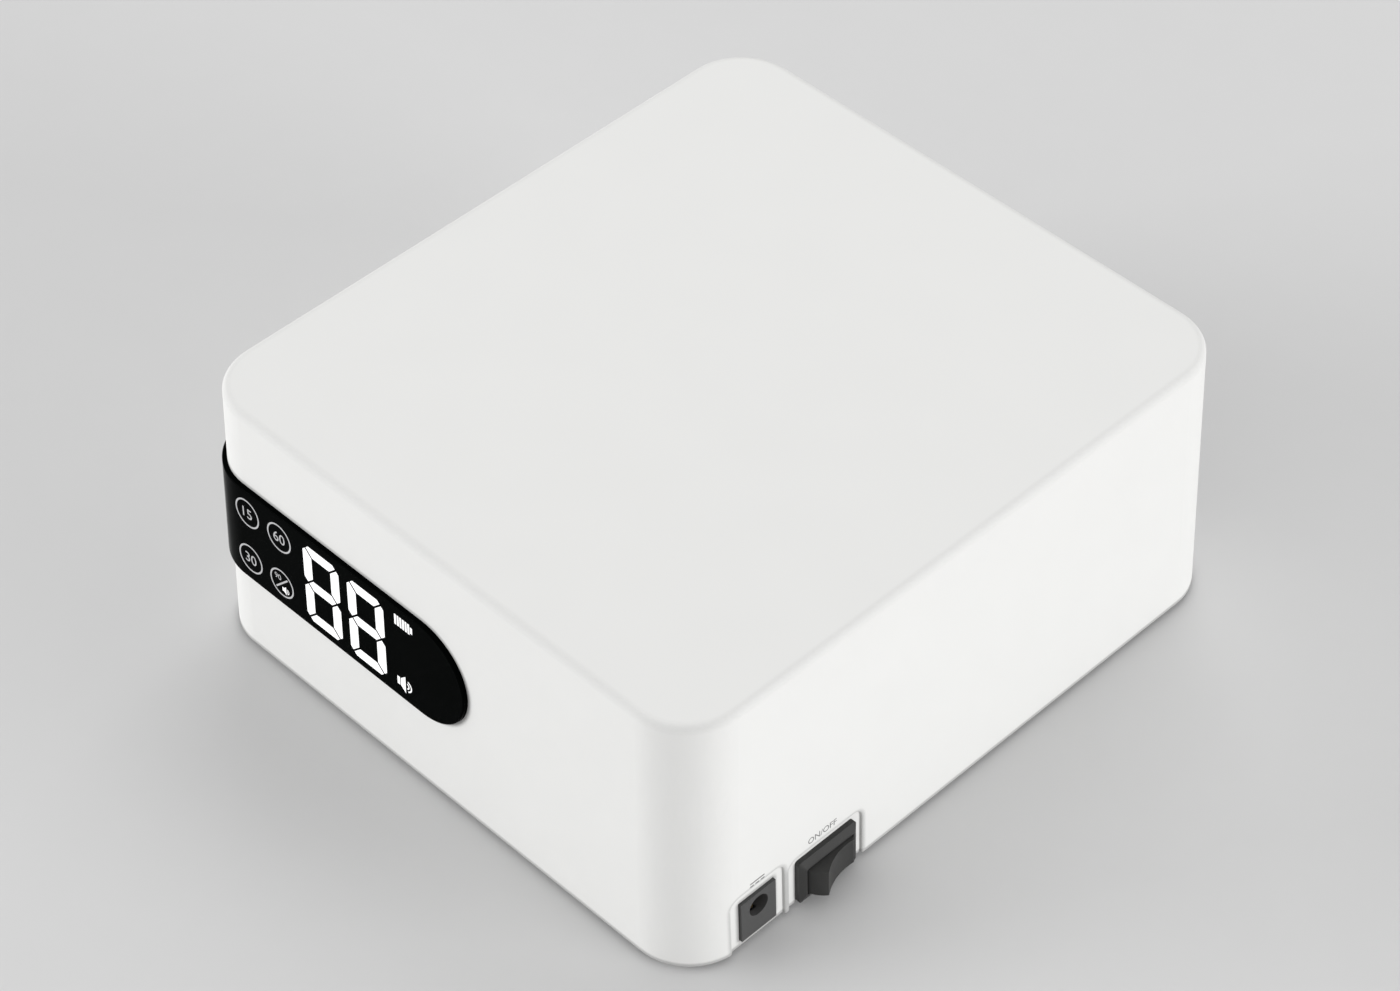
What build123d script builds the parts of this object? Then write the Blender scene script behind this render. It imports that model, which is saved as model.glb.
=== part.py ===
from build123d import *
import math
import os

# Cordless nail lamp: a white box with a hand chamber open at the front, a smoked control window that
# wraps its rear right corner, and a charging socket and rocker switch low on its left wall.
# +Z is up, the hand goes in along +Y, and z = 0 is the table. Millimetres.

os.makedirs("parts", exist_ok=True)

# Housing
top_width = 180.0
top_depth = 199.2
housing_height = 85.1
draft_run = 2.36            # each wall leans out this much from its top to its bottom edge
corner_radius = 17.3
top_edge_round = 1.9
wall = 2.5
foot_lift = 1.5
housing_x = 2.5             # the raised rocker reaches left, so the housing stands right of the origin
fit_gap = 0.3               # between a piece and the moulding that it sits in

# Hand chamber
side_room = 20.0            # beside the chamber, to the housing's top edge
rear_room = 51.6            # behind the chamber, to the housing's top edge
opening_frame = 1.0         # the opening is narrower than the chamber by this much at each side
opening_top = 62.5
opening_corner = 19.0
opening_edge_round = 1.0
chamber_top = 64.0
chamber_corner = 20.0
chamber_end_corner = 12.0
liner_wall = 1.5
liner_flange = 7.0
liner_boss_height = 5.0
lamp_hole = 8.0
sensor_hole = 5.6

# Lamp boards
board_thick = 1.6
board_standoff = 2.5        # boss height between the liner and each lamp board
board_boss = 5.0
top_board_inset = 18.0      # from the chamber's sides
top_board_front = 8.6       # from the housing's front
top_board_rear = 15.0       # from the chamber's back
top_lamp_inset = (13.0, 18.5)
top_lamp_count = (4, 4)
side_board_front = 21.6
side_board_rear = 14.0
side_board_height = 38.0
side_board_z = 31.0
side_lamp_inset = (15.5, 9.0)
side_lamp_count = (4, 2)
back_board_inset = 30.0
back_lamp_inset = (22.0, 9.0)
back_lamp_count = (2, 2)
led_size = 5.0
led_base = 1.2
led_dome_radius = 2.4
sensor_diameter = 5.0
sensor_pitch = 14.0
sensor_inset = 7.0          # from the top board's front edge
sensor_length = 4.2

# Base frame and tray
base_thick = 1.6
rim_height = 6.0
rim_thick = 1.5
ledge = 5.5
tray_side_gap = 0.5
tray_lift = 0.2
tray_thick = 2.2
tray_rib = 1.3
tray_lip_height = 6.4
tray_lip_thick = 2.4
finger_notch = 11.0
magnet_diameter = 8.0
magnet_thick = 1.0
magnet_x = 50.0
back_ledge = 12.0

# Posts, feet and case screws
post_inset_x = 15.4
post_inset_y = 13.0
post_diameter = 7.5
post_height = 16.0
foot_diameter = 12.0
foot_seat = 1.0
foot_round = 0.6
corner_pad = 4.0            # thickness of the base at each foot
case_screw_core = 2.4
case_screw_head = 5.6
case_screw_head_height = 1.7
case_screw_length = 12.0
liner_screw_core = 1.9
liner_screw_head = 4.6
liner_screw_length = 6.0
liner_screw_inset = 4.0
liner_screw_end = 12.0      # from the side boards' ends
board_screw_core = 1.6
board_screw_head = 3.4
board_screw_head_height = 1.3
board_screw_bite = 3.2
pilot_gap = 0.1

# Control window, its board and display
panel_proud = 1.35
panel_seat = 1.2
panel_height = 33.2
panel_rise = 43.4           # its middle above the housing's bottom edge
panel_end_x = 3.9           # centre of its rounded end on the back wall
panel_gap = 0.15
panel_ledge = 2.2
panel_edge_round = 0.5
display_depth = 6.9
control_board_width = 92.0
control_board_height = 45.0
control_board_x = 32.0
board_hole_inset = 4.0
display_width = 48.0
display_height = 28.2
display_x = 28.0
digit_width = 14.0
digit_height = 27.2
digit_stroke = 3.3
digit_centres = (41.35, 24.1)
digit_depth = 1.2
buzzer_diameter = 12.0
buzzer_height = 7.5
buzzer_hole = 2.4
buzzer_x = 24.0             # left of the board's middle
chip_size = 10.0
chip_thick = 1.6
chip_x = 22.0
chip_z = 10.0
plug_width = 9.0            # board sockets that the leads plug into
plug_height = 6.0
plug_depth = 6.0
plug_wall = 2.0
plug_count = 4
plug_pitch = 16.0
plug_drop = 16.0            # below the board's middle
coil_diameter = 12.0
coil_bore = 5.0
coil_height = 6.0
coil_x = 30.0
coil_z = 2.5
can_diameter = 8.0
can_height = 8.0
can_drop = 4.0
key_diameter = 7.0
key_inset = (7.3, 19.9)     # of the touch keys, from the board's right end
key_rise = 8.4              # above and below the window's middle

# Battery
cell_diameter = 18.4
cell_length = 65.2
cell_pitch = 18.8
cell_chamfer = 0.6
cell_rows = 3
bracket_thick = 3.6
bracket_border = 1.6
strip_thick = 0.3
strip_width = 8.0
guard_board_size = (56.0, 15.0)
guard_board_thick = 1.0
guard_chips = 5
guard_chip_size = (5.0, 6.0)
guard_chip_thick = 1.4
guard_chip_pitch = 9.0

# Rocker switch
rocker_from_back = 46.6
rocker_rise = 7.7
bezel_length = 20.8
bezel_height = 15.0
bezel_edge = 0.5            # height of its outer edge above the wall
bezel_crest = 1.6           # height of its inner lip above the wall
bezel_corner = 1.0
well_lip = 0.9              # below the lip the well is longer
pocket_depth = 0.9
pocket_corner = 3.0
pocket_round = 0.6
rocker_border = (2.8, 1.8)   # of the pocket, beside and above the bezel
switch_length = 19.2
switch_height = 11.2
switch_depth = 13.0
switch_floor = 1.2
paddle_radius = 8.34
paddle_width = 8.8
paddle_gap = 0.27
pivot_depth = 1.0
tip_angle = 50.0
paddle_tilt = 14.0
paddle_hollow = 1.25
paddle_wall = 1.1
paddle_tip_round = 0.35
skirt_angle = 100.0
trunnion_diameter = 3.0
trunnion_length = 0.7
trunnion_gap = 0.05
plunger_diameter = 2.0
plunger_gap = 0.08
plunger_length = 4.4
plunger_reach = 6.2         # from the pivot to the plunger's nose
plunger_tube = 3.6
spring_wire = 0.25
spring_turns = 5
saw_half = 5.2
saw_angle = 10.0
saw_gap = 0.2
saw_thick = 0.4
terminal_width = 4.8
terminal_thick = 0.8
terminal_pitch = 4.6
terminal_length = 7.5

# Charging socket
jack_from_back = 22.4
jack_rise = 9.0
jack_width = 12.2
jack_height = 13.8
jack_depth = 14.0
jack_border = (3.2, 3.2)     # of the pocket, beside and above the socket
jack_hole = 6.5
jack_hole_lift = 2.3
jack_hole_depth = 10.5
jack_pin_diameter = 2.1
jack_pin_length = 7.0
jack_face_thick = 2.0
jack_stop_height = 4.0
cradle_wall = 0.8
leaf_width = 2.0
leaf_thick = 0.3
leaf_bow = 0.8
tag_width = 2.4
tag_thick = 0.8
tag_length = 3.0

# Leads
wire_diameter = 1.5
wire_bend = 2.0
wire_pitch = 3.4            # between the two wires of a plug
wire_step = 3.0             # in height between two wires that run side by side
plug_grip = 2.0             # length of a plug outside its socket
sleeve_wall = 0.7
sleeve_bare = 1.5           # of each switch terminal, in front of its sleeve
lead_low = 17.0             # height of the lead that runs along behind the battery
lead_high = 67.5            # height of the leads above the battery
pad_x = 25.0                # places of the pads at the protection board's ends
pad_y = 3.6

# Heights and half sizes that follow from them
edge_z = foot_lift
top_z = edge_z + housing_height
ceiling_z = top_z - wall
base_top = edge_z + base_thick
draft_angle = math.degrees(math.atan(draft_run / housing_height))
post_foot = edge_z + corner_pad
panel_z = edge_z + panel_rise
rocker_y = top_depth / 2 - rocker_from_back
jack_y = top_depth / 2 - jack_from_back
chamber_half = top_width / 2 - side_room
opening_half = chamber_half - opening_frame
chamber_back = top_depth / 2 - rear_room
liner_half = chamber_half + liner_wall
liner_back = chamber_back + liner_wall
tray_half = opening_half - tray_side_gap
tray_z = base_top + tray_lift
board_pilot = board_screw_core + 2 * pilot_gap
lamp_board_face = board_standoff + liner_wall   # from the chamber's inside to a lamp board
top_board_width = 2 * (chamber_half - top_board_inset)
top_board_length = chamber_back - top_board_rear + top_depth / 2 - top_board_front
top_board_y = chamber_back - top_board_rear - top_board_length / 2
side_board_length = chamber_back - side_board_rear + top_depth / 2 - side_board_front
side_board_y = chamber_back - side_board_rear - side_board_length / 2
back_board_width = 2 * (chamber_half - back_board_inset)


def half_width(z):
    """Half the housing's width at height z."""
    return top_width / 2 + draft_run * (top_z - z) / housing_height


def half_depth(z):
    """Half the housing's depth at height z."""
    return top_depth / 2 + draft_run * (top_z - z) / housing_height


def level(z):
    """A level plane at height z, centred on the housing."""
    return Plane(origin=(housing_x, 0, z))


def across(y):
    """An upright plane facing the front, at depth y: its x is the housing's x and its y is height."""
    return Plane(origin=(housing_x, y, 0), x_dir=(1, 0, 0), z_dir=(0, -1, 0))


def lengthwise(x):
    """An upright plane facing right: its x runs to the back and its y is height."""
    return Plane(origin=(housing_x + x, 0, 0), x_dir=(0, 1, 0), z_dir=(1, 0, 0))


def left_wall(y, z):
    """A plane on the left wall's leaning face: its x runs to the front, its y up the wall, its z out."""
    lean = math.radians(draft_angle)
    return Plane(
        origin=(housing_x - half_width(z), y, z),
        x_dir=(0, -1, 0),
        z_dir=(-math.cos(lean), 0, math.sin(lean)),
    )


def turned(plane, degrees):
    """The plane turned about its own normal."""
    angle = math.radians(degrees)
    return Plane(
        origin=plane.origin,
        x_dir=plane.x_dir * math.cos(angle) + plane.y_dir * math.sin(angle),
        z_dir=plane.z_dir,
    )


def housing_block(inset, low, high):
    """The housing's outline moved in by inset, from height low to height high."""
    with BuildPart() as block:
        for z in (low, high):
            with BuildSketch(level(z)):
                RectangleRounded(
                    2 * (half_width(z) - inset), 2 * (half_depth(z) - inset), corner_radius - inset
                )
        loft(ruled=True)
    return block.part


def window_block(grow):
    """A block with the control window's outline, larger all round by grow, that wraps the corner."""
    radius = panel_height / 2 + grow
    reach = 2 * panel_height
    tangent_x = half_width(panel_z) - corner_radius
    tangent_y = half_depth(panel_z) - corner_radius
    wide, deep = half_width(0) + reach, half_depth(0) + reach
    with BuildPart() as block:
        with BuildSketch(across(deep)):
            with Locations((panel_end_x, panel_z)):
                Circle(radius)
                Rectangle(wide - panel_end_x, 2 * radius, align=(Align.MIN, Align.CENTER))
        extrude(amount=deep - tangent_y)
        with BuildSketch(lengthwise(tangent_x)):
            with Locations((tangent_y, panel_z)):
                Circle(radius)
                Rectangle(deep - tangent_y, 2 * radius, align=(Align.MIN, Align.CENTER))
        extrude(amount=wide - tangent_x)
    return block.part


def pocket(length, height, border):
    """The outline of a shallow pocket round a piece on the left wall, rounded above and open below."""
    top = height / 2 + border[1]
    with BuildSketch() as outline:
        Rectangle(length + 2 * border[0], top + housing_height, align=(Align.CENTER, Align.MAX))
        top_corners = outline.vertices().group_by(Axis.Y)[-1]
        fillet(top_corners, pocket_corner)
    return outline.sketch.moved(Location((0, top, 0)))


def on_pocket_rim(edge):
    """Whether an edge runs round a pocket, where it opens in the left wall's outer face."""
    middle = edge @ 0.5
    beside = rocker_y - bezel_length < middle.Y < jack_y + jack_width
    low = edge_z + pocket_depth < middle.Z < edge_z + housing_height / 3
    return beside and low and abs(jack_wall.to_local_coords(middle).Z) < pocket_depth / 4


post_x = half_width(edge_z) - post_inset_x
post_y = half_depth(edge_z) - post_inset_y
rocker_z = edge_z + rocker_rise
jack_z = edge_z + jack_rise
rocker_wall = left_wall(rocker_y, rocker_z)
jack_wall = left_wall(jack_y, jack_z)
window_inner = half_depth(panel_z + display_height / 2) - panel_seat
board_face_y = window_inner - fit_gap - display_depth
board_hole_x = control_board_width / 2 - board_hole_inset
board_hole_z = control_board_height / 2 - board_hole_inset

# Housing shell: one moulding, hollow from below
opening_height = opening_top + edge_z
with BuildPart() as housing_shell:
    add(housing_block(0, edge_z, top_z))
    fillet(housing_shell.faces().sort_by(Axis.Z)[-1].edges(), top_edge_round)
    add(housing_block(wall, 0, ceiling_z), mode=Mode.SUBTRACT)
    with BuildSketch(across(-half_depth(0) - wall)) as mouth:
        with Locations((0, opening_top)):
            Rectangle(2 * opening_half, opening_height, align=(Align.CENTER, Align.MAX))
        fillet(mouth.vertices().group_by(Axis.Y)[-1], opening_corner)
    extrude(amount=-4 * wall, mode=Mode.SUBTRACT)
    front_face = housing_shell.faces().sort_by(Axis.Y)[0]
    mouth_edges = front_face.edges().filter_by(
        lambda edge: abs(edge.center().X - housing_x) < opening_half + wall
        and edge_z + wall < edge.center().Z < opening_top + wall
    )
    fillet(mouth_edges, opening_edge_round)
    add(window_block(0) - housing_block(panel_seat, 0, top_z), mode=Mode.SUBTRACT)
    add(window_block(-panel_ledge), mode=Mode.SUBTRACT)
    # Pockets and cut-outs for the rocker switch and the charging socket
    with BuildSketch(rocker_wall):
        add(pocket(bezel_length, bezel_height, rocker_border))
    extrude(amount=-pocket_depth, mode=Mode.SUBTRACT)
    with BuildSketch(jack_wall):
        add(pocket(jack_width, jack_height, jack_border))
    extrude(amount=-pocket_depth, mode=Mode.SUBTRACT)
    fillet(housing_shell.edges().filter_by(on_pocket_rim), pocket_round)
    with BuildSketch(rocker_wall):
        Rectangle(switch_length + 2 * pilot_gap, switch_height + 2 * pilot_gap)
    extrude(amount=-2 * wall, mode=Mode.SUBTRACT)
    with BuildSketch(jack_wall):
        Rectangle(jack_width + fit_gap, jack_height + fit_gap)
    extrude(amount=-2 * wall, mode=Mode.SUBTRACT)
    # Screw posts in the corners with ribs to the walls, and bosses for the control board
    with BuildSketch(level(post_foot)):
        with GridLocations(2 * post_x, 2 * post_y, 2, 2):
            Circle(post_diameter / 2)
    extrude(amount=post_height)
    rib_z = base_top + rim_height + fit_gap
    with BuildSketch(level(rib_z)):
        for side_x, align_x in ((-1, Align.MAX), (1, Align.MIN)):
            for side_y, align_y in ((-1, Align.MAX), (1, Align.MIN)):
                with Locations((side_x * post_x, side_y * post_y)):
                    Rectangle(post_inset_x - wall, rim_thick, align=(align_x, Align.CENTER))
                    Rectangle(rim_thick, post_inset_y - wall, align=(Align.CENTER, align_y))
    extrude(amount=post_foot + post_height - rib_z)
    with BuildSketch(level(post_foot)):
        with GridLocations(2 * post_x, 2 * post_y, 2, 2):
            Circle(case_screw_core / 2 + pilot_gap)
    extrude(amount=case_screw_length, mode=Mode.SUBTRACT)
    with BuildSketch(across(board_face_y)):
        with Locations((control_board_x, panel_z)):
            with GridLocations(2 * board_hole_x, 2 * board_hole_z, 2, 2):
                Circle(board_boss / 2)
    extrude(amount=-(window_inner - board_face_y))
    with BuildSketch(across(board_face_y)):
        with Locations((control_board_x, panel_z)):
            with GridLocations(2 * board_hole_x, 2 * board_hole_z, 2, 2):
                Circle(board_pilot / 2)
    extrude(amount=-board_screw_bite - pilot_gap, mode=Mode.SUBTRACT)
housing_shell.part.label = "housing_shell"
export_step(housing_shell.part, "parts/housing_shell.step")

# Control window: a bent plate, proud of the wall, seated in the shell's recess, with a rounded rim
window_skin = housing_block(-panel_proud, edge_z, top_z).faces()


def on_rim(edge):
    """Whether an edge of the window runs round its outer face, and isn't a seam up that face."""
    on_skin = min(face.distance_to(edge @ 0.3) for face in window_skin) < pilot_gap / 10
    rise = abs((edge @ 0).Z - (edge @ 1).Z)
    return on_skin and not (rise > panel_height / 2 and edge.length < 1.1 * panel_height)


with BuildPart() as control_panel:
    add(housing_block(-panel_proud, edge_z, top_z))
    add(housing_block(panel_seat - pilot_gap / 2, 0, top_z + wall), mode=Mode.SUBTRACT)
    add(window_block(-panel_gap), mode=Mode.INTERSECT)
    fillet(control_panel.edges().filter_by(on_rim), panel_edge_round)
control_panel.part.label = "control_panel"
export_step(control_panel.part, "parts/control_panel.step")

# Rubber feet, each seated over a case screw
with BuildPart(level(0)) as rubber_feet:
    with GridLocations(2 * post_x, 2 * post_y, 2, 2):
        Cylinder(foot_diameter / 2, foot_lift + foot_seat, align=(Align.CENTER, Align.CENTER, Align.MIN))
    fillet(rubber_feet.faces().group_by(Axis.Z)[0].edges(), foot_round)
rubber_feet.part.label = "rubber_feet"
export_step(rubber_feet.part, "parts/rubber_feet.step")

# Case screws, up through the base frame's corner pads into the shell's posts
screw_seat_z = edge_z + foot_seat + case_screw_head_height + pilot_gap
with BuildPart(level(screw_seat_z)) as case_screws:
    with GridLocations(2 * post_x, 2 * post_y, 2, 2):
        Cylinder(
            case_screw_head / 2, case_screw_head_height, align=(Align.CENTER, Align.CENTER, Align.MAX)
        )
        Cylinder(case_screw_core / 2, case_screw_length, align=(Align.CENTER, Align.CENTER, Align.MIN))
case_screws.part.label = "case_screws"
export_step(case_screws.part, "parts/case_screws.step")

magnet_y = chamber_back - back_ledge / 2
magnet_places = [(-magnet_x, magnet_y), (magnet_x, magnet_y)]

# Base frame: a plate with a rim rib, open at the front where the tray slides out
cell_half_depth = cell_diameter / 2 + bracket_border
cells_y = liner_back + board_standoff + board_thick + board_screw_head_height + cell_half_depth
cells_z = base_top + bracket_border + cell_diameter / 2
cells_top = cells_z + (cell_rows - 1) * cell_pitch + cell_diameter / 2
liner_screw_x = liner_half + liner_flange - liner_screw_inset
liner_screw_reach = side_board_length / 2 - liner_screw_end
liner_screw_y = (side_board_y - liner_screw_reach, side_board_y + liner_screw_reach)
saddle_x = cell_length / 2
rim_block = housing_block(wall + fit_gap, base_top, base_top + rim_height)
rim_hollow = housing_block(wall + fit_gap + rim_thick, base_top, base_top + rim_height)
with BuildPart() as base_frame:
    add(housing_block(wall + fit_gap, edge_z, base_top))
    add(rim_block - rim_hollow)
    with BuildSketch(level(0)):
        with GridLocations(2 * post_x, 2 * post_y, 2, 2):
            Circle(foot_diameter / 2 + rim_thick)
    extrude(amount=post_foot)
    with BuildSketch(level(0)):
        Rectangle(3 * top_width, 3 * top_depth)
    extrude(amount=edge_z, mode=Mode.SUBTRACT)
    # The gap under the tray, and the tray's way out through the rim
    with BuildSketch(level(0)):
        with Locations((0, chamber_back - back_ledge)):
            Rectangle(2 * (tray_half - ledge), top_depth, align=(Align.CENTER, Align.MAX))
    extrude(amount=base_top, mode=Mode.SUBTRACT)
    with BuildSketch(level(base_top)):
        Rectangle(2 * (liner_half + fit_gap), top_depth, align=(Align.CENTER, Align.MAX))
    extrude(amount=rim_height, mode=Mode.SUBTRACT)
    # The rim stops where the switch and the socket reach in
    with BuildSketch(level(base_top)):
        with Locations((-half_width(edge_z), (rocker_y + jack_y) / 2)):
            Rectangle(4 * wall + 4 * rim_thick, jack_y - rocker_y + switch_length + 2 * rim_thick)
    extrude(amount=rim_height, mode=Mode.SUBTRACT)
    # Saddles under the cells
    for side in (-1, 1):
        with BuildSketch(lengthwise(side * saddle_x)):
            with Locations((cells_y, base_top)):
                Rectangle(2 * cell_half_depth, cell_diameter / 3, align=(Align.CENTER, Align.MIN))
            with Locations((cells_y, cells_z)):
                Circle(cell_diameter / 2 + fit_gap / 2, mode=Mode.SUBTRACT)
        extrude(amount=rim_thick, both=True)
    # Cradle walls on both sides of the charging socket, with a stop behind it
    jack_stop = half_width(jack_z) - jack_depth - 2 * fit_gap
    cradle_width = jack_width + 2 * (fit_gap + cradle_wall)
    with BuildSketch(level(base_top)):
        with Locations((-jack_stop + cradle_wall, jack_y)):
            Rectangle(cradle_wall + jack_depth / 2, cradle_width, align=(Align.MAX, Align.CENTER))
        with Locations((-jack_stop, jack_y)):
            Rectangle(
                jack_depth, jack_width + 2 * fit_gap,
                align=(Align.MAX, Align.CENTER), mode=Mode.SUBTRACT,
            )
    extrude(amount=jack_stop_height)
    with BuildSketch(level(base_top)):
        with Locations((-jack_stop, jack_y)):
            Rectangle(2 * jack_depth, jack_width + 2 * fit_gap, align=(Align.MAX, Align.CENTER))
    extrude(amount=rim_height, mode=Mode.SUBTRACT)
    # Seats for feet, case screws, liner screws and magnets
    with BuildSketch(level(edge_z)):
        with GridLocations(2 * post_x, 2 * post_y, 2, 2):
            Circle(foot_diameter / 2 + pilot_gap)
    extrude(amount=foot_seat, mode=Mode.SUBTRACT)
    with BuildSketch(level(edge_z)):
        with GridLocations(2 * post_x, 2 * post_y, 2, 2):
            Circle(case_screw_head / 2 + 2 * pilot_gap)
    extrude(amount=screw_seat_z - edge_z, mode=Mode.SUBTRACT)
    with BuildSketch(level(edge_z)):
        with GridLocations(2 * post_x, 2 * post_y, 2, 2):
            Circle(case_screw_core / 2 + 3 * pilot_gap)
    extrude(amount=corner_pad, mode=Mode.SUBTRACT)
    for y in liner_screw_y:
        with BuildSketch(level(edge_z)):
            with Locations((-liner_screw_x, y), (liner_screw_x, y)):
                Circle(liner_screw_head / 2 + pilot_gap)
        extrude(amount=base_thick / 2, mode=Mode.SUBTRACT)
        with BuildSketch(level(edge_z)):
            with Locations((-liner_screw_x, y), (liner_screw_x, y)):
                Circle(liner_screw_core / 2 + 2 * pilot_gap)
        extrude(amount=base_thick, mode=Mode.SUBTRACT)
    with BuildSketch(level(base_top)):
        with Locations(magnet_places):
            Circle(magnet_diameter / 2 + pilot_gap)
    extrude(amount=-magnet_thick - pilot_gap, mode=Mode.SUBTRACT)
base_frame.part.label = "base_frame"
export_step(base_frame.part, "parts/base_frame.step")

# Magnets that hold the tray home: a pair in the frame's rear ledge and a pair in the tray
with BuildPart(level(base_top)) as frame_magnets:
    with Locations(magnet_places):
        Cylinder(magnet_diameter / 2, magnet_thick, align=(Align.CENTER, Align.CENTER, Align.MAX))
frame_magnets.part.label = "frame_magnets"
export_step(frame_magnets.part, "parts/frame_magnets.step")
with BuildPart(level(tray_z)) as tray_magnets:
    with Locations(magnet_places):
        Cylinder(magnet_diameter / 2, magnet_thick, align=(Align.CENTER, Align.CENTER, Align.MIN))
tray_magnets.part.label = "tray_magnets"
export_step(tray_magnets.part, "parts/tray_magnets.step")

# Base tray: the chamber's floor, with a lip that closes the foot of the opening
lip_low = edge_z + fit_gap
lip_high = tray_z + tray_lip_height
tray_back = chamber_back - tray_side_gap
tray_front = -half_depth(edge_z) + tray_lip_thick / 2
with BuildPart() as tray_lip:
    add(housing_block(0, lip_low, lip_high))
    add(housing_block(tray_lip_thick, lip_low, lip_high), mode=Mode.SUBTRACT)
    with BuildSketch(level(0)):
        with Locations((0, -chamber_back)):
            Rectangle(2 * tray_half, top_depth, align=(Align.CENTER, Align.MAX))
    extrude(amount=2 * lip_high, mode=Mode.INTERSECT)
with BuildPart() as base_tray:
    with BuildSketch(level(tray_z)) as tray_outline:
        with Locations((0, tray_back)):
            Rectangle(2 * tray_half, tray_back - tray_front, align=(Align.CENTER, Align.MAX))
        fillet(tray_outline.vertices().group_by(Axis.Y)[-1], chamber_end_corner)
    extrude(amount=tray_thick)
    # A raised border and a sunken floor
    with BuildSketch(level(tray_z + tray_thick)) as tray_floor:
        with Locations((0, tray_back - rim_thick)):
            Rectangle(
                2 * (tray_half - rim_thick), tray_back - rim_thick - tray_front - tray_lip_thick,
                align=(Align.CENTER, Align.MAX),
            )
        fillet(tray_floor.vertices().group_by(Axis.Y)[-1], chamber_end_corner - rim_thick)
    extrude(amount=-tray_thick / 3, mode=Mode.SUBTRACT)
    # Stiffening ribs below, between the ledges
    rib_span_x = 2 * (tray_half - ledge - tray_side_gap)
    rib_front = tray_front + tray_lip_thick
    rib_back = chamber_back - back_ledge - tray_side_gap
    with BuildSketch(level(tray_z)):
        with Locations((0, (rib_front + rib_back) / 2)):
            with GridLocations((rib_span_x - rim_thick) / 4, 0, 5, 1):
                Rectangle(rim_thick, rib_back - rib_front)
            with GridLocations(0, (rib_back - rib_front - rim_thick) / 4, 1, 5):
                Rectangle(rib_span_x, rim_thick)
    extrude(amount=-tray_rib)
    add(tray_lip.part)
    with BuildSketch(across(-half_depth(0))):
        with Locations((0, lip_low - finger_notch / 2)):
            Circle(finger_notch)
    extrude(amount=-tray_lip_thick, mode=Mode.SUBTRACT)
    with BuildSketch(level(tray_z)):
        with Locations(magnet_places):
            Circle(magnet_diameter / 2 + pilot_gap)
    extrude(amount=magnet_thick + pilot_gap, mode=Mode.SUBTRACT)
base_tray.part.label = "base_tray"
export_step(base_tray.part, "parts/base_tray.step")


def tunnel(grow, low):
    """The hand chamber's space, larger all round by grow: a tunnel with a rounded roof and far end."""
    with BuildPart() as space:
        with BuildSketch(across(chamber_back + grow)) as section:
            with Locations((0, chamber_top + grow)):
                Rectangle(
                    2 * (chamber_half + grow), chamber_top + grow - low, align=(Align.CENTER, Align.MAX)
                )
            fillet(section.vertices().group_by(Axis.Y)[-1], chamber_corner + grow)
        extrude(amount=chamber_back + top_depth)
        far_end = space.faces().sort_by(Axis.Y)[-1]
        roof_edges = far_end.edges().filter_by(lambda e: e.center().Z > low + pilot_gap)
        fillet(roof_edges, chamber_end_corner + grow)
    return space.part


# Each lamp board's face plane, size, lamp count and the inset of its outer lamps
side_board_x = chamber_half + lamp_board_face
top_plane = Plane(
    origin=(housing_x, top_board_y, chamber_top + lamp_board_face), x_dir=(1, 0, 0), z_dir=(0, 0, -1)
)
left_plane = Plane(
    origin=(housing_x - side_board_x, side_board_y, side_board_z), x_dir=(0, 1, 0), z_dir=(1, 0, 0)
)
right_plane = Plane(
    origin=(housing_x + side_board_x, side_board_y, side_board_z), x_dir=(0, 1, 0), z_dir=(-1, 0, 0)
)
back_plane = Plane(
    origin=(housing_x, chamber_back + lamp_board_face, side_board_z), x_dir=(1, 0, 0), z_dir=(0, -1, 0)
)
lamp_boards = {
    "top": (top_plane, (top_board_width, top_board_length), top_lamp_count, top_lamp_inset),
    "left": (left_plane, (side_board_length, side_board_height), side_lamp_count, side_lamp_inset),
    "right": (right_plane, (side_board_length, side_board_height), side_lamp_count, side_lamp_inset),
    "back": (back_plane, (back_board_width, side_board_height), back_lamp_count, back_lamp_inset),
}
sensor_y = top_board_y - top_board_length / 2 + sensor_inset


def lamp_grid(board):
    """The places of a lamp board's lamps on its face."""
    plane, (width, height), (columns, rows), (inset_x, inset_y) = board
    pitch_x = (width - 2 * inset_x) / (columns - 1)
    pitch_y = (height - 2 * inset_y) / (rows - 1)
    return GridLocations(pitch_x, pitch_y, columns, rows)


def board_holes(board):
    """The places of a lamp board's four screws on its face."""
    plane, (width, height) = board[:2]
    return GridLocations(width - 2 * board_hole_inset, height - 2 * board_hole_inset, 2, 2)


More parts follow.
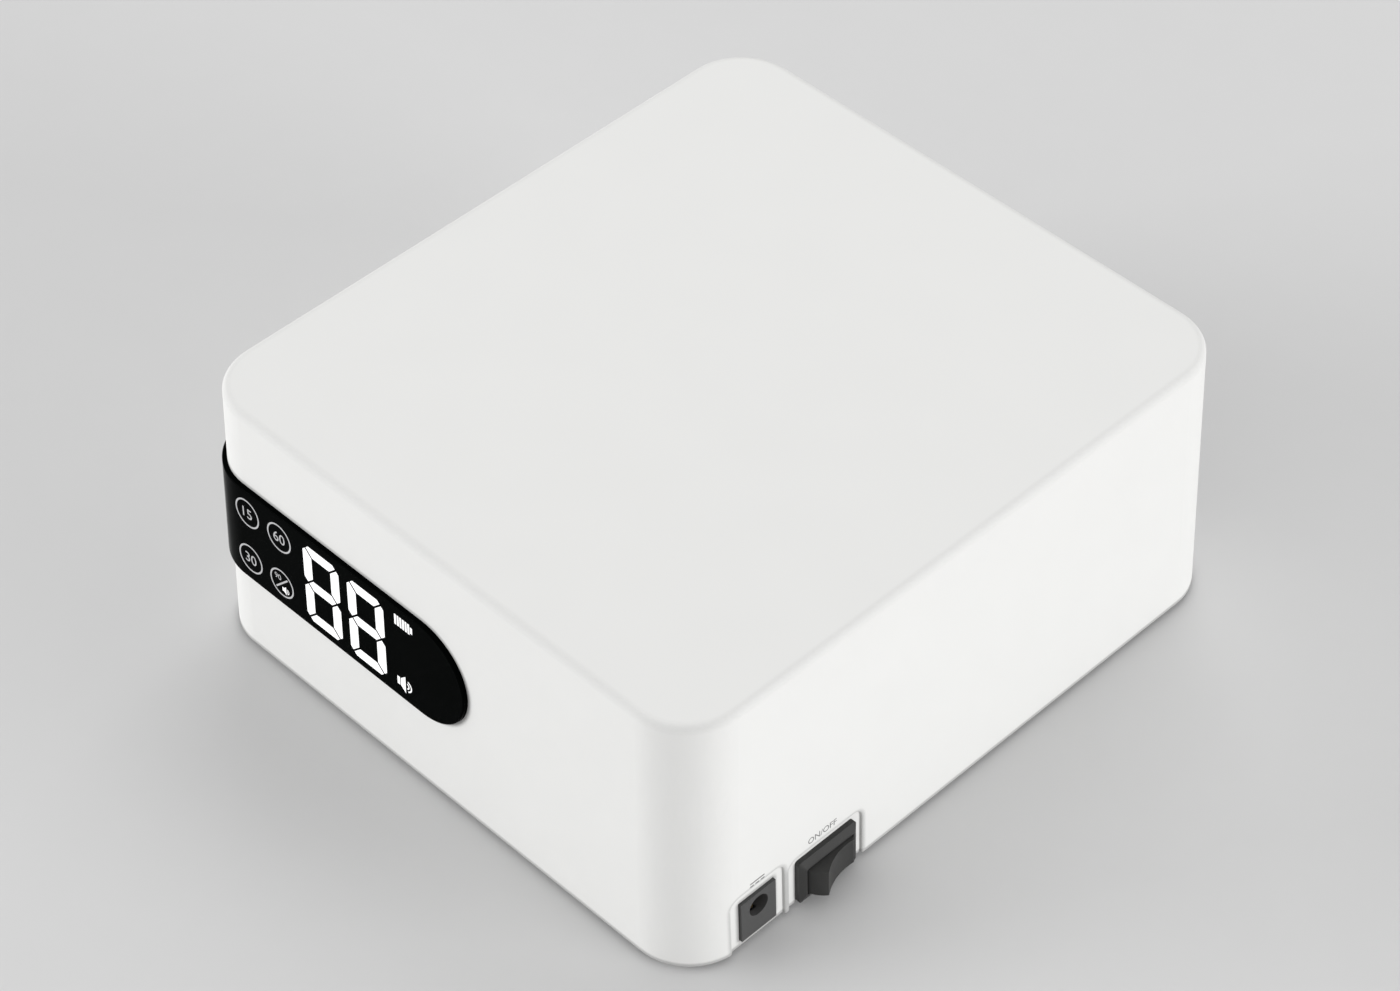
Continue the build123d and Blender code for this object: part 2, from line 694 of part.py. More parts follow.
# Reflector liner: the chamber's mirror-lined skin, with side flanges, lamp holes and board bosses
with BuildPart() as reflector_liner:
    add(tunnel(liner_wall, base_top))
    with BuildSketch(level(base_top)):
        for side in (-1, 1):
            with Locations((side * chamber_half, (liner_screw_y[0] + liner_screw_y[1]) / 2)):
                Rectangle(
                    liner_wall + liner_flange,
                    liner_screw_y[1] - liner_screw_y[0] + 4 * liner_screw_inset,
                    align=(Align.MIN if side > 0 else Align.MAX, Align.CENTER),
                )
    extrude(amount=liner_wall)
    for y in liner_screw_y:
        with BuildSketch(level(base_top)):
            with Locations((-liner_screw_x, y), (liner_screw_x, y)):
                Circle(board_boss / 2)
        extrude(amount=liner_boss_height)
    for board in lamp_boards.values():
        with BuildSketch(board[0]):
            with board_holes(board):
                Circle(board_boss / 2)
        extrude(amount=board_standoff + liner_wall / 2)
    add(tunnel(0, 0), mode=Mode.SUBTRACT)
    add(housing_block(wall + fit_gap, 0, ceiling_z), mode=Mode.INTERSECT)
    for board in lamp_boards.values():
        with BuildSketch(board[0]):
            with lamp_grid(board):
                Circle(lamp_hole / 2)
        extrude(amount=2 * lamp_board_face, mode=Mode.SUBTRACT)
        with BuildSketch(board[0]):
            with board_holes(board):
                Circle(board_pilot / 2)
        extrude(amount=board_screw_bite + pilot_gap, mode=Mode.SUBTRACT)
    with BuildSketch(level(chamber_top)):
        with Locations((0, sensor_y)):
            with GridLocations(sensor_pitch, 0, 2, 1):
                Circle(sensor_hole / 2)
    extrude(amount=lamp_board_face, mode=Mode.SUBTRACT)
    for y in liner_screw_y:
        with BuildSketch(level(base_top)):
            with Locations((-liner_screw_x, y), (liner_screw_x, y)):
                Circle(liner_screw_core / 2 + pilot_gap)
        extrude(amount=liner_boss_height, mode=Mode.SUBTRACT)
reflector_liner.part.label = "reflector_liner"
export_step(reflector_liner.part, "parts/reflector_liner.step")


def lamp_led():
    """One lamp: a square carrier with a domed lens, standing on a level plane."""
    with BuildPart() as led:
        with BuildSketch(Plane.XY):
            Rectangle(led_size, led_size)
        extrude(amount=led_base)
        with BuildSketch(Plane.XZ):
            with BuildLine():
                Line((0, led_base), (led_dome_radius, led_base))
                CenterArc((0, led_base), led_dome_radius, 0, 90)
                Line((0, led_base + led_dome_radius), (0, led_base))
            make_face()
        revolve(axis=Axis.Z)
    return led.part


# Lamp boards with their lamps
for side, board in lamp_boards.items():
    with BuildPart() as lamp_board:
        with BuildSketch(board[0]) as board_outline:
            Rectangle(*board[1])
            fillet(board_outline.vertices(), board_hole_inset / 2)
            with board_holes(board):
                Circle(board_pilot / 2 + pilot_gap, mode=Mode.SUBTRACT)
        extrude(amount=-board_thick)
    lamp_board.part.label = f"{side}_led_board"
    export_step(lamp_board.part, f"parts/{side}_led_board.step")
    with BuildPart(board[0]) as leds:
        with lamp_grid(board):
            add(lamp_led())
    leds.part.label = f"{side}_leds"
    export_step(leds.part, f"parts/{side}_leds.step")

# Infrared pair at the chamber's mouth
with BuildPart() as hand_sensors:
    with BuildSketch(level(chamber_top + lamp_board_face)):
        with Locations((0, sensor_y)):
            with GridLocations(sensor_pitch, 0, 2, 1):
                Circle(sensor_diameter / 2)
    extrude(amount=-sensor_length)
    fillet(hand_sensors.faces().group_by(Axis.Z)[0].edges(), sensor_diameter / 3)
hand_sensors.part.label = "hand_sensors"
export_step(hand_sensors.part, "parts/hand_sensors.step")

# Control board, screwed to the bosses behind the window
board_rear_y = board_face_y - board_thick
with BuildPart() as control_board:
    with BuildSketch(across(board_face_y)):
        with Locations((control_board_x, panel_z)):
            Rectangle(control_board_width, control_board_height)
            with GridLocations(2 * board_hole_x, 2 * board_hole_z, 2, 2):
                Circle(board_pilot / 2 + pilot_gap, mode=Mode.SUBTRACT)
    extrude(amount=board_thick)
control_board.part.label = "control_board"
export_step(control_board.part, "parts/control_board.step")

# Small screws of the lamp boards and of the control board
control_plane = Plane(
    origin=(housing_x + control_board_x, board_face_y, panel_z), x_dir=(1, 0, 0), z_dir=(0, 1, 0)
)
screwed_boards = [*lamp_boards.values(), (control_plane, (control_board_width, control_board_height))]
with BuildPart() as board_screws:
    for board in screwed_boards:
        rear = board[0].offset(-board_thick)
        with BuildSketch(rear):
            with board_holes(board):
                Circle(board_screw_head / 2)
        extrude(amount=-board_screw_head_height)
        with BuildSketch(rear):
            with board_holes(board):
                Circle(board_screw_core / 2)
        extrude(amount=board_thick + board_screw_bite)
board_screws.part.label = "board_screws"
export_step(board_screws.part, "parts/board_screws.step")

# Screws that hold the liner's flanges down on the base frame
with BuildPart(level(edge_z)) as liner_screws:
    for y in liner_screw_y:
        with Locations((-liner_screw_x, y), (liner_screw_x, y)):
            Cylinder(liner_screw_head / 2, base_thick / 2, align=(Align.CENTER, Align.CENTER, Align.MIN))
            Cylinder(
                liner_screw_core / 2, liner_screw_length, align=(Align.CENTER, Align.CENTER, Align.MIN)
            )
liner_screws.part.label = "liner_screws"
export_step(liner_screws.part, "parts/liner_screws.step")

# Digit display behind the window: a block with a well for each bar of two digits
bar_long = digit_height / 2 - digit_stroke
bar_short = digit_width - 2 * digit_stroke
with BuildPart() as digit_display:
    with BuildSketch(across(board_face_y)):
        with Locations((display_x, panel_z)):
            Rectangle(display_width, display_height)
    extrude(amount=-display_depth)
    with BuildSketch(across(board_face_y + display_depth)):
        for x in digit_centres:
            with Locations((x, panel_z)):
                with GridLocations(0, digit_height / 2 - digit_stroke / 2, 1, 3):
                    Rectangle(bar_short, digit_stroke * 0.8)
                with GridLocations(digit_width - digit_stroke, digit_height / 2 - digit_stroke / 2, 2, 2):
                    Rectangle(digit_stroke * 0.8, bar_long * 0.9)
    extrude(amount=digit_depth, mode=Mode.SUBTRACT)
digit_display.part.label = "digit_display"
export_step(digit_display.part, "parts/digit_display.step")

# Foam pads that carry a touch from the window to the board
with BuildPart() as touch_pads:
    with BuildSketch(across(board_face_y)):
        for inset in key_inset:
            with Locations((control_board_x + control_board_width / 2 - inset, panel_z)):
                with GridLocations(0, 2 * key_rise, 1, 2):
                    Circle(key_diameter / 2)
    extrude(amount=-display_depth)
touch_pads.part.label = "touch_pads"
export_step(touch_pads.part, "parts/touch_pads.step")

# Chips and sockets on the control board's rear face
with BuildPart() as board_chips:
    with BuildSketch(across(board_rear_y)):
        with Locations((control_board_x - chip_x, panel_z + chip_z)):
            Rectangle(chip_size, chip_size)
        with Locations((control_board_x, panel_z + chip_z)):
            with GridLocations(1.5 * chip_size, 0, 2, 1):
                Rectangle(chip_size / 2, chip_size * 0.6)
    extrude(amount=chip_thick)
    with BuildSketch(across(board_rear_y)):
        with Locations((control_board_x, panel_z - plug_drop)):
            with GridLocations(plug_pitch, 0, plug_count, 1):
                Rectangle(plug_width, plug_height)
                Rectangle(plug_width - plug_wall, plug_height - plug_wall, mode=Mode.SUBTRACT)
    extrude(amount=plug_depth)
board_chips.part.label = "board_chips"
export_step(board_chips.part, "parts/board_chips.step")

# Coils and capacitors of the lamp driver
with BuildPart() as board_power_parts:
    with BuildSketch(across(board_rear_y)):
        with Locations((control_board_x + coil_x, panel_z + coil_z)):
            with GridLocations(0, 1.25 * coil_diameter, 1, 2):
                Circle(coil_diameter / 2)
                Circle(coil_bore / 2, mode=Mode.SUBTRACT)
    extrude(amount=coil_height)
    with BuildSketch(across(board_rear_y)):
        with Locations((control_board_x, panel_z - can_drop)):
            with GridLocations(1.5 * can_diameter, 0, 2, 1):
                Circle(can_diameter / 2)
    extrude(amount=can_height)
board_power_parts.part.label = "board_power_parts"
export_step(board_power_parts.part, "parts/board_power_parts.step")

# Buzzer: a can with a sound hole
with BuildPart() as buzzer:
    with BuildSketch(across(board_rear_y)):
        with Locations((control_board_x - buzzer_x, panel_z - can_drop)):
            Circle(buzzer_diameter / 2)
    extrude(amount=buzzer_height)
    with BuildSketch(across(board_rear_y - buzzer_height)):
        with Locations((control_board_x - buzzer_x, panel_z - can_drop)):
            Circle(buzzer_hole / 2)
    extrude(amount=-buzzer_height / 2, mode=Mode.SUBTRACT)
buzzer.part.label = "buzzer"
export_step(buzzer.part, "parts/buzzer.step")

# Battery: two columns of cells end to end, three high
cell_heights = [cells_z + row * cell_pitch for row in range(cell_rows)]
with BuildPart() as battery_cells:
    for side in (-1, 1):
        with BuildSketch(lengthwise(side * strip_thick)):
            for z in cell_heights:
                with Locations((cells_y, z)):
                    Circle(cell_diameter / 2)
        extrude(amount=side * cell_length)
    chamfer(battery_cells.edges().filter_by(GeomType.CIRCLE), cell_chamfer)
battery_cells.part.label = "battery_cells"
export_step(battery_cells.part, "parts/battery_cells.step")

# Cell brackets: one at each end of the pack and a pair at the joint
bracket_top = cells_top + bracket_border
pack_end = strip_thick + cell_length
with BuildPart() as cell_brackets:
    for x in (-pack_end, -strip_thick - bracket_thick, strip_thick, pack_end - bracket_thick):
        with BuildSketch(lengthwise(x)):
            with Locations((cells_y, base_top)):
                Rectangle(2 * cell_half_depth, bracket_top - base_top, align=(Align.CENTER, Align.MIN))
            for z in cell_heights:
                with Locations((cells_y, z)):
                    Circle(cell_diameter / 2 + fit_gap / 2, mode=Mode.SUBTRACT)
        extrude(amount=bracket_thick)
cell_brackets.part.label = "cell_brackets"
export_step(cell_brackets.part, "parts/cell_brackets.step")

# Nickel strips across the cells' ends
with BuildPart() as cell_strips:
    for x in (-pack_end - strip_thick, -strip_thick / 2, pack_end):
        with BuildSketch(lengthwise(x)):
            with Locations((cells_y, (cell_heights[0] + cell_heights[-1]) / 2)):
                Rectangle(strip_width, (cell_rows - 1) * cell_pitch + strip_width)
        extrude(amount=strip_thick)
cell_strips.part.label = "cell_strips"
export_step(cell_strips.part, "parts/cell_strips.step")

# Protection board on the middle bracket
with BuildPart() as protection_board:
    with BuildSketch(level(bracket_top)):
        with Locations((0, cells_y)):
            Rectangle(*guard_board_size)
    extrude(amount=guard_board_thick)
    with BuildSketch(level(bracket_top + guard_board_thick)):
        with Locations((0, cells_y)):
            with GridLocations(guard_chip_pitch, 0, guard_chips, 1):
                Rectangle(*guard_chip_size)
    extrude(amount=guard_chip_thick)
protection_board.part.label = "protection_board"
export_step(protection_board.part, "parts/protection_board.step")

# Charging socket: a square-faced block with a round mouth and a centre pin
with BuildPart() as jack_body:
    with BuildSketch(jack_wall):
        Rectangle(jack_width, jack_height)
    extrude(amount=-jack_depth)
    with BuildSketch(jack_wall):
        with Locations((0, jack_hole_lift)):
            Circle(jack_hole / 2)
    extrude(amount=-jack_hole_depth, mode=Mode.SUBTRACT)
    with BuildSketch(jack_wall.offset(-jack_face_thick)):
        with Locations((0, jack_hole_lift - jack_hole / 2)):
            Rectangle(leaf_width + fit_gap, leaf_width + fit_gap)
    extrude(amount=-jack_depth, mode=Mode.SUBTRACT)
    with BuildSketch(jack_wall):
        with Locations((0, jack_hole_lift)):
            Circle(jack_pin_diameter / 2 + pilot_gap / 2)
    extrude(amount=-jack_depth, mode=Mode.SUBTRACT)
jack_body.part.label = "jack_body"
export_step(jack_body.part, "parts/jack_body.step")

# Centre pin, held in the socket's floor, with a solder tag behind
with BuildPart() as jack_pin:
    with BuildSketch(jack_wall.offset(-jack_depth - pilot_gap)):
        with Locations((0, jack_hole_lift)):
            Circle(jack_pin_diameter / 2)
    extrude(amount=jack_depth + pilot_gap - jack_hole_depth + jack_pin_length)
    fillet(jack_pin.faces().sort_by(Axis.X)[0].edges(), jack_pin_diameter / 4)
    with BuildSketch(jack_wall.offset(-jack_depth - pilot_gap)):
        with Locations((0, jack_hole_lift)):
            Rectangle(tag_width, tag_thick)
    extrude(amount=-tag_length)
jack_pin.part.label = "jack_pin"
export_step(jack_pin.part, "parts/jack_pin.step")

# Sleeve contact: a bowed spring leaf below the pin
leaf_height = jack_hole_lift - jack_hole / 2 - tag_thick / 2
leaf_rear = -jack_depth - tag_length
leaf_start = -0.8 * jack_depth
leaf_middle = -jack_depth / 2
leaf_front = -jack_face_thick - tag_thick
with BuildPart() as jack_contact:
    with BuildSketch(Plane(jack_wall.origin, x_dir=jack_wall.z_dir, z_dir=-jack_wall.x_dir)):
        with BuildLine():
            upper, lower = leaf_height + leaf_thick, leaf_height
            Line((leaf_rear, upper), (leaf_start, upper))
            ThreePointArc((leaf_start, upper), (leaf_middle, upper + leaf_bow), (leaf_front, upper))
            Line((leaf_front, upper), (leaf_front, lower))
            ThreePointArc((leaf_front, lower), (leaf_middle, lower + leaf_bow), (leaf_start, lower))
            Line((leaf_start, lower), (leaf_rear, lower))
            Line((leaf_rear, lower), (leaf_rear, upper))
        make_face()
    extrude(amount=leaf_width / 2, both=True)
jack_contact.part.label = "jack_contact"
export_step(jack_contact.part, "parts/jack_contact.step")

# Rocker switch body: a sloping bezel round an open well, with a hole in each side wall for a trunnion
pivot = rocker_wall.origin - rocker_wall.z_dir * pivot_depth
rocker_section = Plane(origin=pivot, x_dir=(0, 1, 0), z_dir=rocker_wall.y_dir)
well_width = paddle_width + 2 * paddle_gap
lip_half = math.sqrt(paddle_radius**2 - (pivot_depth + well_lip) ** 2) + paddle_gap
with BuildPart() as switch_body:
    with BuildSketch(rocker_wall.offset(-pocket_depth)):
        RectangleRounded(bezel_length, bezel_height, bezel_corner)
    extrude(amount=pocket_depth + bezel_edge)
    with BuildSketch(rocker_wall.offset(bezel_edge)):
        RectangleRounded(bezel_length, bezel_height, bezel_corner)
    with BuildSketch(rocker_wall.offset(bezel_crest)):
        RectangleRounded(
            2 * lip_half + bezel_corner, well_width + bezel_corner, bezel_corner / 2
        )
    loft(ruled=True)
    with BuildSketch(rocker_wall.offset(-pocket_depth)):
        Rectangle(switch_length, switch_height)
    extrude(amount=-(switch_depth - pocket_depth))
    with BuildSketch(rocker_wall.offset(-switch_depth + switch_floor)):
        Rectangle(2 * (paddle_radius + paddle_gap), well_width)
    extrude(amount=switch_depth - switch_floor + well_lip, mode=Mode.SUBTRACT)
    with BuildSketch(rocker_wall):
        Rectangle(2 * lip_half, well_width)
    extrude(amount=2 * bezel_crest, mode=Mode.SUBTRACT)
    with BuildSketch(rocker_section):
        Circle(trunnion_diameter / 2 + trunnion_gap)
    extrude(amount=paddle_width / 2 + trunnion_length + paddle_gap, both=True, mode=Mode.SUBTRACT)
    with BuildSketch(rocker_wall.offset(-switch_depth)):
        with Locations((0, 0), (-terminal_pitch, 0)):
            Rectangle(terminal_thick + pilot_gap, terminal_width + pilot_gap)
    extrude(amount=switch_floor, mode=Mode.SUBTRACT)
switch_body.part.label = "switch_body"
export_step(switch_body.part, "parts/switch_body.step")

# Rocker paddle: round ends about the pivot, a hollow face between two raised tips, open below
paddle_plane = turned(rocker_section, paddle_tilt)
tip_x = paddle_radius * math.sin(math.radians(tip_angle))
tip_y = paddle_radius * math.cos(math.radians(tip_angle))
skirt_x = paddle_radius * math.sin(math.radians(skirt_angle))
skirt_y = paddle_radius * math.cos(math.radians(skirt_angle))
with BuildPart() as rocker_paddle:
    with BuildSketch(paddle_plane):
        with BuildLine():
            ThreePointArc((-tip_x, tip_y), (0, tip_y - paddle_hollow), (tip_x, tip_y))
            RadiusArc((tip_x, tip_y), (skirt_x, skirt_y), paddle_radius)
            Line((skirt_x, skirt_y), (-skirt_x, skirt_y))
            RadiusArc((-skirt_x, skirt_y), (-tip_x, tip_y), paddle_radius)
        make_face()
    extrude(amount=paddle_width / 2, both=True)
    across_edges = rocker_paddle.edges().filter_by(Axis(pivot, rocker_section.z_dir))
    tips = across_edges.group_by(Axis(pivot, paddle_plane.y_dir))[-1]
    fillet(tips, paddle_tip_round)
    with BuildSketch(paddle_plane):
        Rectangle(2 * (skirt_x - paddle_wall), 2 * (tip_y - paddle_hollow - paddle_wall))
    extrude(amount=paddle_width / 2 - paddle_wall, both=True, mode=Mode.SUBTRACT)
    with BuildSketch(paddle_plane):
        Circle(trunnion_diameter / 2)
    extrude(amount=paddle_width / 2 + trunnion_length, both=True)
    # Tube that holds the plunger and its spring
    plunger_plane = Plane(origin=pivot, x_dir=paddle_plane.z_dir, z_dir=-paddle_plane.y_dir)
    with BuildSketch(plunger_plane):
        Circle(plunger_diameter / 2 + plunger_gap + paddle_wall / 2)
    extrude(amount=plunger_tube)
    with BuildSketch(plunger_plane.offset(-trunnion_diameter / 2)):
        Circle(plunger_diameter / 2 + plunger_gap)
    extrude(amount=plunger_tube + trunnion_diameter, mode=Mode.SUBTRACT)
rocker_paddle.part.label = "rocker_paddle"
export_step(rocker_paddle.part, "parts/rocker_paddle.step")

# Plunger: a round-nosed pin that slides in the paddle's tube
with BuildPart() as switch_plunger:
    with BuildSketch(plunger_plane.offset(plunger_reach - plunger_length)):
        Circle(plunger_diameter / 2)
    extrude(amount=plunger_length)
    nose = switch_plunger.faces().sort_by(Axis(pivot, plunger_plane.z_dir))[-1]
    fillet(nose.edges(), 0.4 * plunger_diameter)
switch_plunger.part.label = "switch_plunger"
export_step(switch_plunger.part, "parts/switch_plunger.step")

# Spring behind the plunger
spring_length = plunger_reach - plunger_length + trunnion_diameter / 2 - 2 * pilot_gap
spring_radius = plunger_diameter / 2 - spring_wire / 2
spring_base = plunger_plane.offset(-trunnion_diameter / 2 + pilot_gap + spring_wire / 2)
with BuildPart() as plunger_spring:
    with BuildLine() as coil:
        Helix(
            pitch=(spring_length - spring_wire) / spring_turns,
            height=spring_length - spring_wire,
            radius=spring_radius,
            center=spring_base.origin,
            direction=spring_base.z_dir,
        )
    with BuildSketch(Plane(origin=coil.line @ 0, z_dir=coil.line % 0)):
        Circle(spring_wire / 2)
    sweep(is_frenet=True)
plunger_spring.part.label = "plunger_spring"
export_step(plunger_spring.part, "parts/plunger_spring.step")

# See-saw contact: a shallow V that the plunger tips over on its middle terminal
saw_vertex = (0, -plunger_reach - saw_gap)
saw_rise = saw_half * math.tan(math.radians(saw_angle))
saw_pivot = rocker_section.from_local_coords((saw_vertex[0], saw_vertex[1], 0))
saw_section = Plane(origin=saw_pivot, x_dir=rocker_section.x_dir, z_dir=rocker_section.z_dir)
saw_plane = turned(saw_section, -saw_angle)
with BuildPart() as see_saw_contact:
    with BuildSketch(saw_plane):
        with BuildLine():
            Polyline(
                (-saw_half, saw_rise), (0, 0), (saw_half, saw_rise),
                (saw_half, saw_rise - saw_thick), (0, -saw_thick), (-saw_half, saw_rise - saw_thick),
                close=True,
            )
        make_face()
    extrude(amount=terminal_width / 2 - fit_gap, both=True)
see_saw_contact.part.label = "see_saw_contact"
export_step(see_saw_contact.part, "parts/see_saw_contact.step")

# Blade terminals through the switch's floor: the middle one carries the see-saw
saw_depth = pivot_depth + plunger_reach + saw_gap + saw_thick
with BuildPart() as switch_terminals:
    for along, top in ((0, saw_depth + pilot_gap), (-terminal_pitch, saw_depth + fit_gap)):
        with BuildSketch(rocker_wall.offset(-top)):
            with Locations((along, 0)):
                Rectangle(terminal_thick, terminal_width)
        extrude(amount=-(switch_depth - top + terminal_length))
switch_terminals.part.label = "switch_terminals"
export_step(switch_terminals.part, "parts/switch_terminals.step")

# Leads: a plug in a socket of the control board with two wires, or wires with push-on sleeves
plug_rear = board_rear_y - plug_depth - plug_grip
plug_z = panel_z - plug_drop
plug_x = [control_board_x + (place - (plug_count - 1) / 2) * plug_pitch for place in range(plug_count)]
lead_y = (cells_y + cell_half_depth + plug_rear) / 2
guard_top = bracket_top + guard_board_thick


def behind(plane, along, up, depth):
    """A point at a depth behind a plane on the left wall, measured from the housing's middle."""
    point = plane.from_local_coords((along, up, -depth))
    return (point.X - housing_x, point.Y, point.Z)


def wire(*points):
    """A round wire along straight runs with a bend between them."""
    with BuildPart() as strand:
        with BuildLine() as run:
            FilletPolyline(*[(housing_x + x, y, z) for x, y, z in points], radius=wire_bend)
        with BuildSketch(Plane(origin=run.line @ 0, z_dir=run.line % 0)):
            Circle(wire_diameter / 2)
        sweep()
    return strand.part


def plug(x):
    """A plug in the board socket at x, reaching out of it by its grip."""
    with BuildPart() as body:
        with BuildSketch(across(plug_rear)):
            with Locations((x, plug_z)):
                Rectangle(plug_width - plug_wall - fit_gap, plug_height - plug_wall - fit_gap)
        extrude(amount=fit_gap - plug_grip - plug_depth)
    return body.part


def sleeve(plane, along, up, size, start, end):
    """A sleeve pushed over a flat tag behind the left wall, from a depth to just past the tag's end."""
    width, height = size
    with BuildPart() as cover:
        with BuildSketch(plane.offset(-start)):
            with Locations((along, up)):
                Rectangle(width + 2 * sleeve_wall, height + 2 * sleeve_wall)
        extrude(amount=start - end - sleeve_wall)
        with BuildSketch(plane.offset(-start)):
            with Locations((along, up)):
                Rectangle(width + pilot_gap, height + pilot_gap)
        extrude(amount=start - end - pilot_gap, mode=Mode.SUBTRACT)
    return cover.part


# From the charging socket's two tags to the first board socket
tag_end = jack_depth + tag_length
jack_tags = (
    (jack_hole_lift, (tag_width, tag_thick), lead_low + wire_step, plug_x[0] - wire_pitch / 2),
    (leaf_height + leaf_thick / 2, (leaf_width, leaf_thick), lead_low, plug_x[0] + wire_pitch / 2),
)
with BuildPart() as jack_lead:
    add(plug(plug_x[0]))
    for up, size, run_z, x in jack_tags:
        add(sleeve(jack_wall, 0, up, size, jack_depth + 2 * pilot_gap, tag_end + pilot_gap))
        start_x, start_y, start_z = behind(jack_wall, 0, up, tag_end + sleeve_wall)
        add(wire(
            (start_x, start_y, start_z),
            (start_x + 2 * wire_bend, start_y, start_z),
            (-pack_end, lead_y, run_z),
            (x, lead_y, run_z),
            (x, lead_y, plug_z),
            (x, plug_rear + plug_grip / 2, plug_z),
        ))
jack_lead.part.label = "jack_lead"
export_step(jack_lead.part, "parts/jack_lead.step")

# From the switch's two terminals up over the battery to the protection board
blade_end = switch_depth + terminal_length
blade_size = (terminal_thick, terminal_width)
with BuildPart() as switch_lead:
    for along, side in ((0, -1), (-terminal_pitch, 1)):
        add(sleeve(rocker_wall, along, 0, blade_size, switch_depth + sleeve_bare, blade_end))
        start_x, start_y, start_z = behind(rocker_wall, along, 0, blade_end + sleeve_wall / 2)
        pad = cells_y + side * pad_y
        add(wire(
            (start_x, start_y, start_z),
            (start_x + 1.5 * wire_bend, start_y, start_z),
            (start_x + 1.5 * wire_bend, pad, lead_high),
            (-pad_x, pad, lead_high),
            (-pad_x, pad, guard_top),
        ))
switch_lead.part.label = "switch_lead"
export_step(switch_lead.part, "parts/switch_lead.step")

# From the protection board down to the second board socket
with BuildPart() as battery_lead:
    add(plug(plug_x[1]))
    for side in (-1, 1):
        x = plug_x[1] + side * wire_pitch / 2
        add(wire(
            (x, cells_y + pad_y, guard_top),
            (x, cells_y + pad_y, lead_high),
            (x, lead_y, lead_high),
            (x, lead_y, plug_z),
            (x, plug_rear + plug_grip / 2, plug_z),
        ))
battery_lead.part.label = "battery_lead"
export_step(battery_lead.part, "parts/battery_lead.step")

# From the last two board sockets to the rear face of each lamp board
side_rear = side_board_x + board_thick
top_rear_z = top_plane.origin.Z + board_thick
back_rear_y = back_plane.origin.Y + board_thick
board_end_y = chamber_back - side_board_rear - 1.5 * board_hole_inset
between_cells_z = cells_z + cell_pitch / 2
end_x = pack_end + strip_thick + wire_step
plug_exit = plug_rear + plug_grip / 2
first_x, second_x = plug_x[2] - wire_pitch / 2, plug_x[2] + wire_pitch / 2
third_x, fourth_x = plug_x[3] - wire_pitch / 2, plug_x[3] + wire_pitch / 2
top_run_z = lead_high + 2 * wire_step
cross_z = lead_high + wire_step / 2
cross_y = liner_back + wire_step
back_end_x = back_board_width / 2
with BuildPart() as lamp_leads:
    add(plug(plug_x[2]))
    add(plug(plug_x[3]))
    add(wire(
        (first_x, plug_exit, plug_z),
        (first_x, lead_y, plug_z),
        (first_x, lead_y, top_run_z),
        (first_x, board_end_y, top_run_z),
        (first_x, board_end_y, top_rear_z),
    ))
    add(wire(
        (second_x, plug_exit, plug_z),
        (second_x, lead_y, plug_z),
        (second_x, lead_y, cross_z),
        (second_x, cross_y, cross_z),
        (-side_rear - 2 * wire_bend, cross_y, cross_z),
        (-side_rear - 2 * wire_bend, board_end_y, side_board_z),
        (-side_rear, board_end_y, side_board_z),
    ))
    add(wire(
        (third_x, plug_exit, plug_z),
        (third_x, lead_y, plug_z),
        (third_x, lead_y, between_cells_z),
        (end_x, lead_y, between_cells_z),
        (end_x, back_rear_y, between_cells_z),
        (back_end_x + 2 * wire_bend, back_rear_y, between_cells_z),
        (back_end_x + wire_bend / 2, back_rear_y + wire_step, between_cells_z),
        (back_end_x - 2 * wire_bend, back_rear_y + wire_step, between_cells_z),
        (back_end_x - 2 * wire_bend, back_rear_y, between_cells_z),
    ))
    add(wire(
        (fourth_x, plug_exit, plug_z),
        (fourth_x, lead_y, plug_z),
        (side_rear + 2 * wire_bend, lead_y, plug_z),
        (side_rear + 2 * wire_bend, board_end_y, plug_z),
        (side_rear, board_end_y, plug_z),
    ))
lamp_leads.part.label = "lamp_leads"
export_step(lamp_leads.part, "parts/lamp_leads.step")
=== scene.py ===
import math

import bmesh
import bpy
from mathutils import Matrix, Vector


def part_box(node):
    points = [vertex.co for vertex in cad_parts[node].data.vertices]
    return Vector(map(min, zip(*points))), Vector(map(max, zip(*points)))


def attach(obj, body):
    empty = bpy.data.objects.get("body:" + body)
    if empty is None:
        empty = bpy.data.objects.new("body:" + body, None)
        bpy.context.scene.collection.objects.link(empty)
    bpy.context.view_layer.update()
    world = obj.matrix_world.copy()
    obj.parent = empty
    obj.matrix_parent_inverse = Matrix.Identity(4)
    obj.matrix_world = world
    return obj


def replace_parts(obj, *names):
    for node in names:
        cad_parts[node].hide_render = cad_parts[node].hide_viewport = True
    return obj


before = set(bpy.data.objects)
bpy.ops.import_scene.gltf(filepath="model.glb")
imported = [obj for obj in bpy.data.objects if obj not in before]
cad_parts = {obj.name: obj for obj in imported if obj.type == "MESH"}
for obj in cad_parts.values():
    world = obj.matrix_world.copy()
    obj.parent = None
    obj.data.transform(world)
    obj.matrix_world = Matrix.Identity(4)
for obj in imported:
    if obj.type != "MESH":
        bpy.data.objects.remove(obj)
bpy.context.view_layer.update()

# Cordless nail lamp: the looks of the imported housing, window, hand chamber, switch, socket and
# insides. The scene is in metres; the sizes below are in millimetres and go through MM.
MM = 0.001
UP = Vector((0, 0, 1))
BACKWARD = Vector((0, 1, 0))
LEFT = Vector((-1, 0, 0))

# Marks, printed or lit: how far they reach into their wall and stand out of it
mark_sunk = 0.05
mark_proud = 0.03

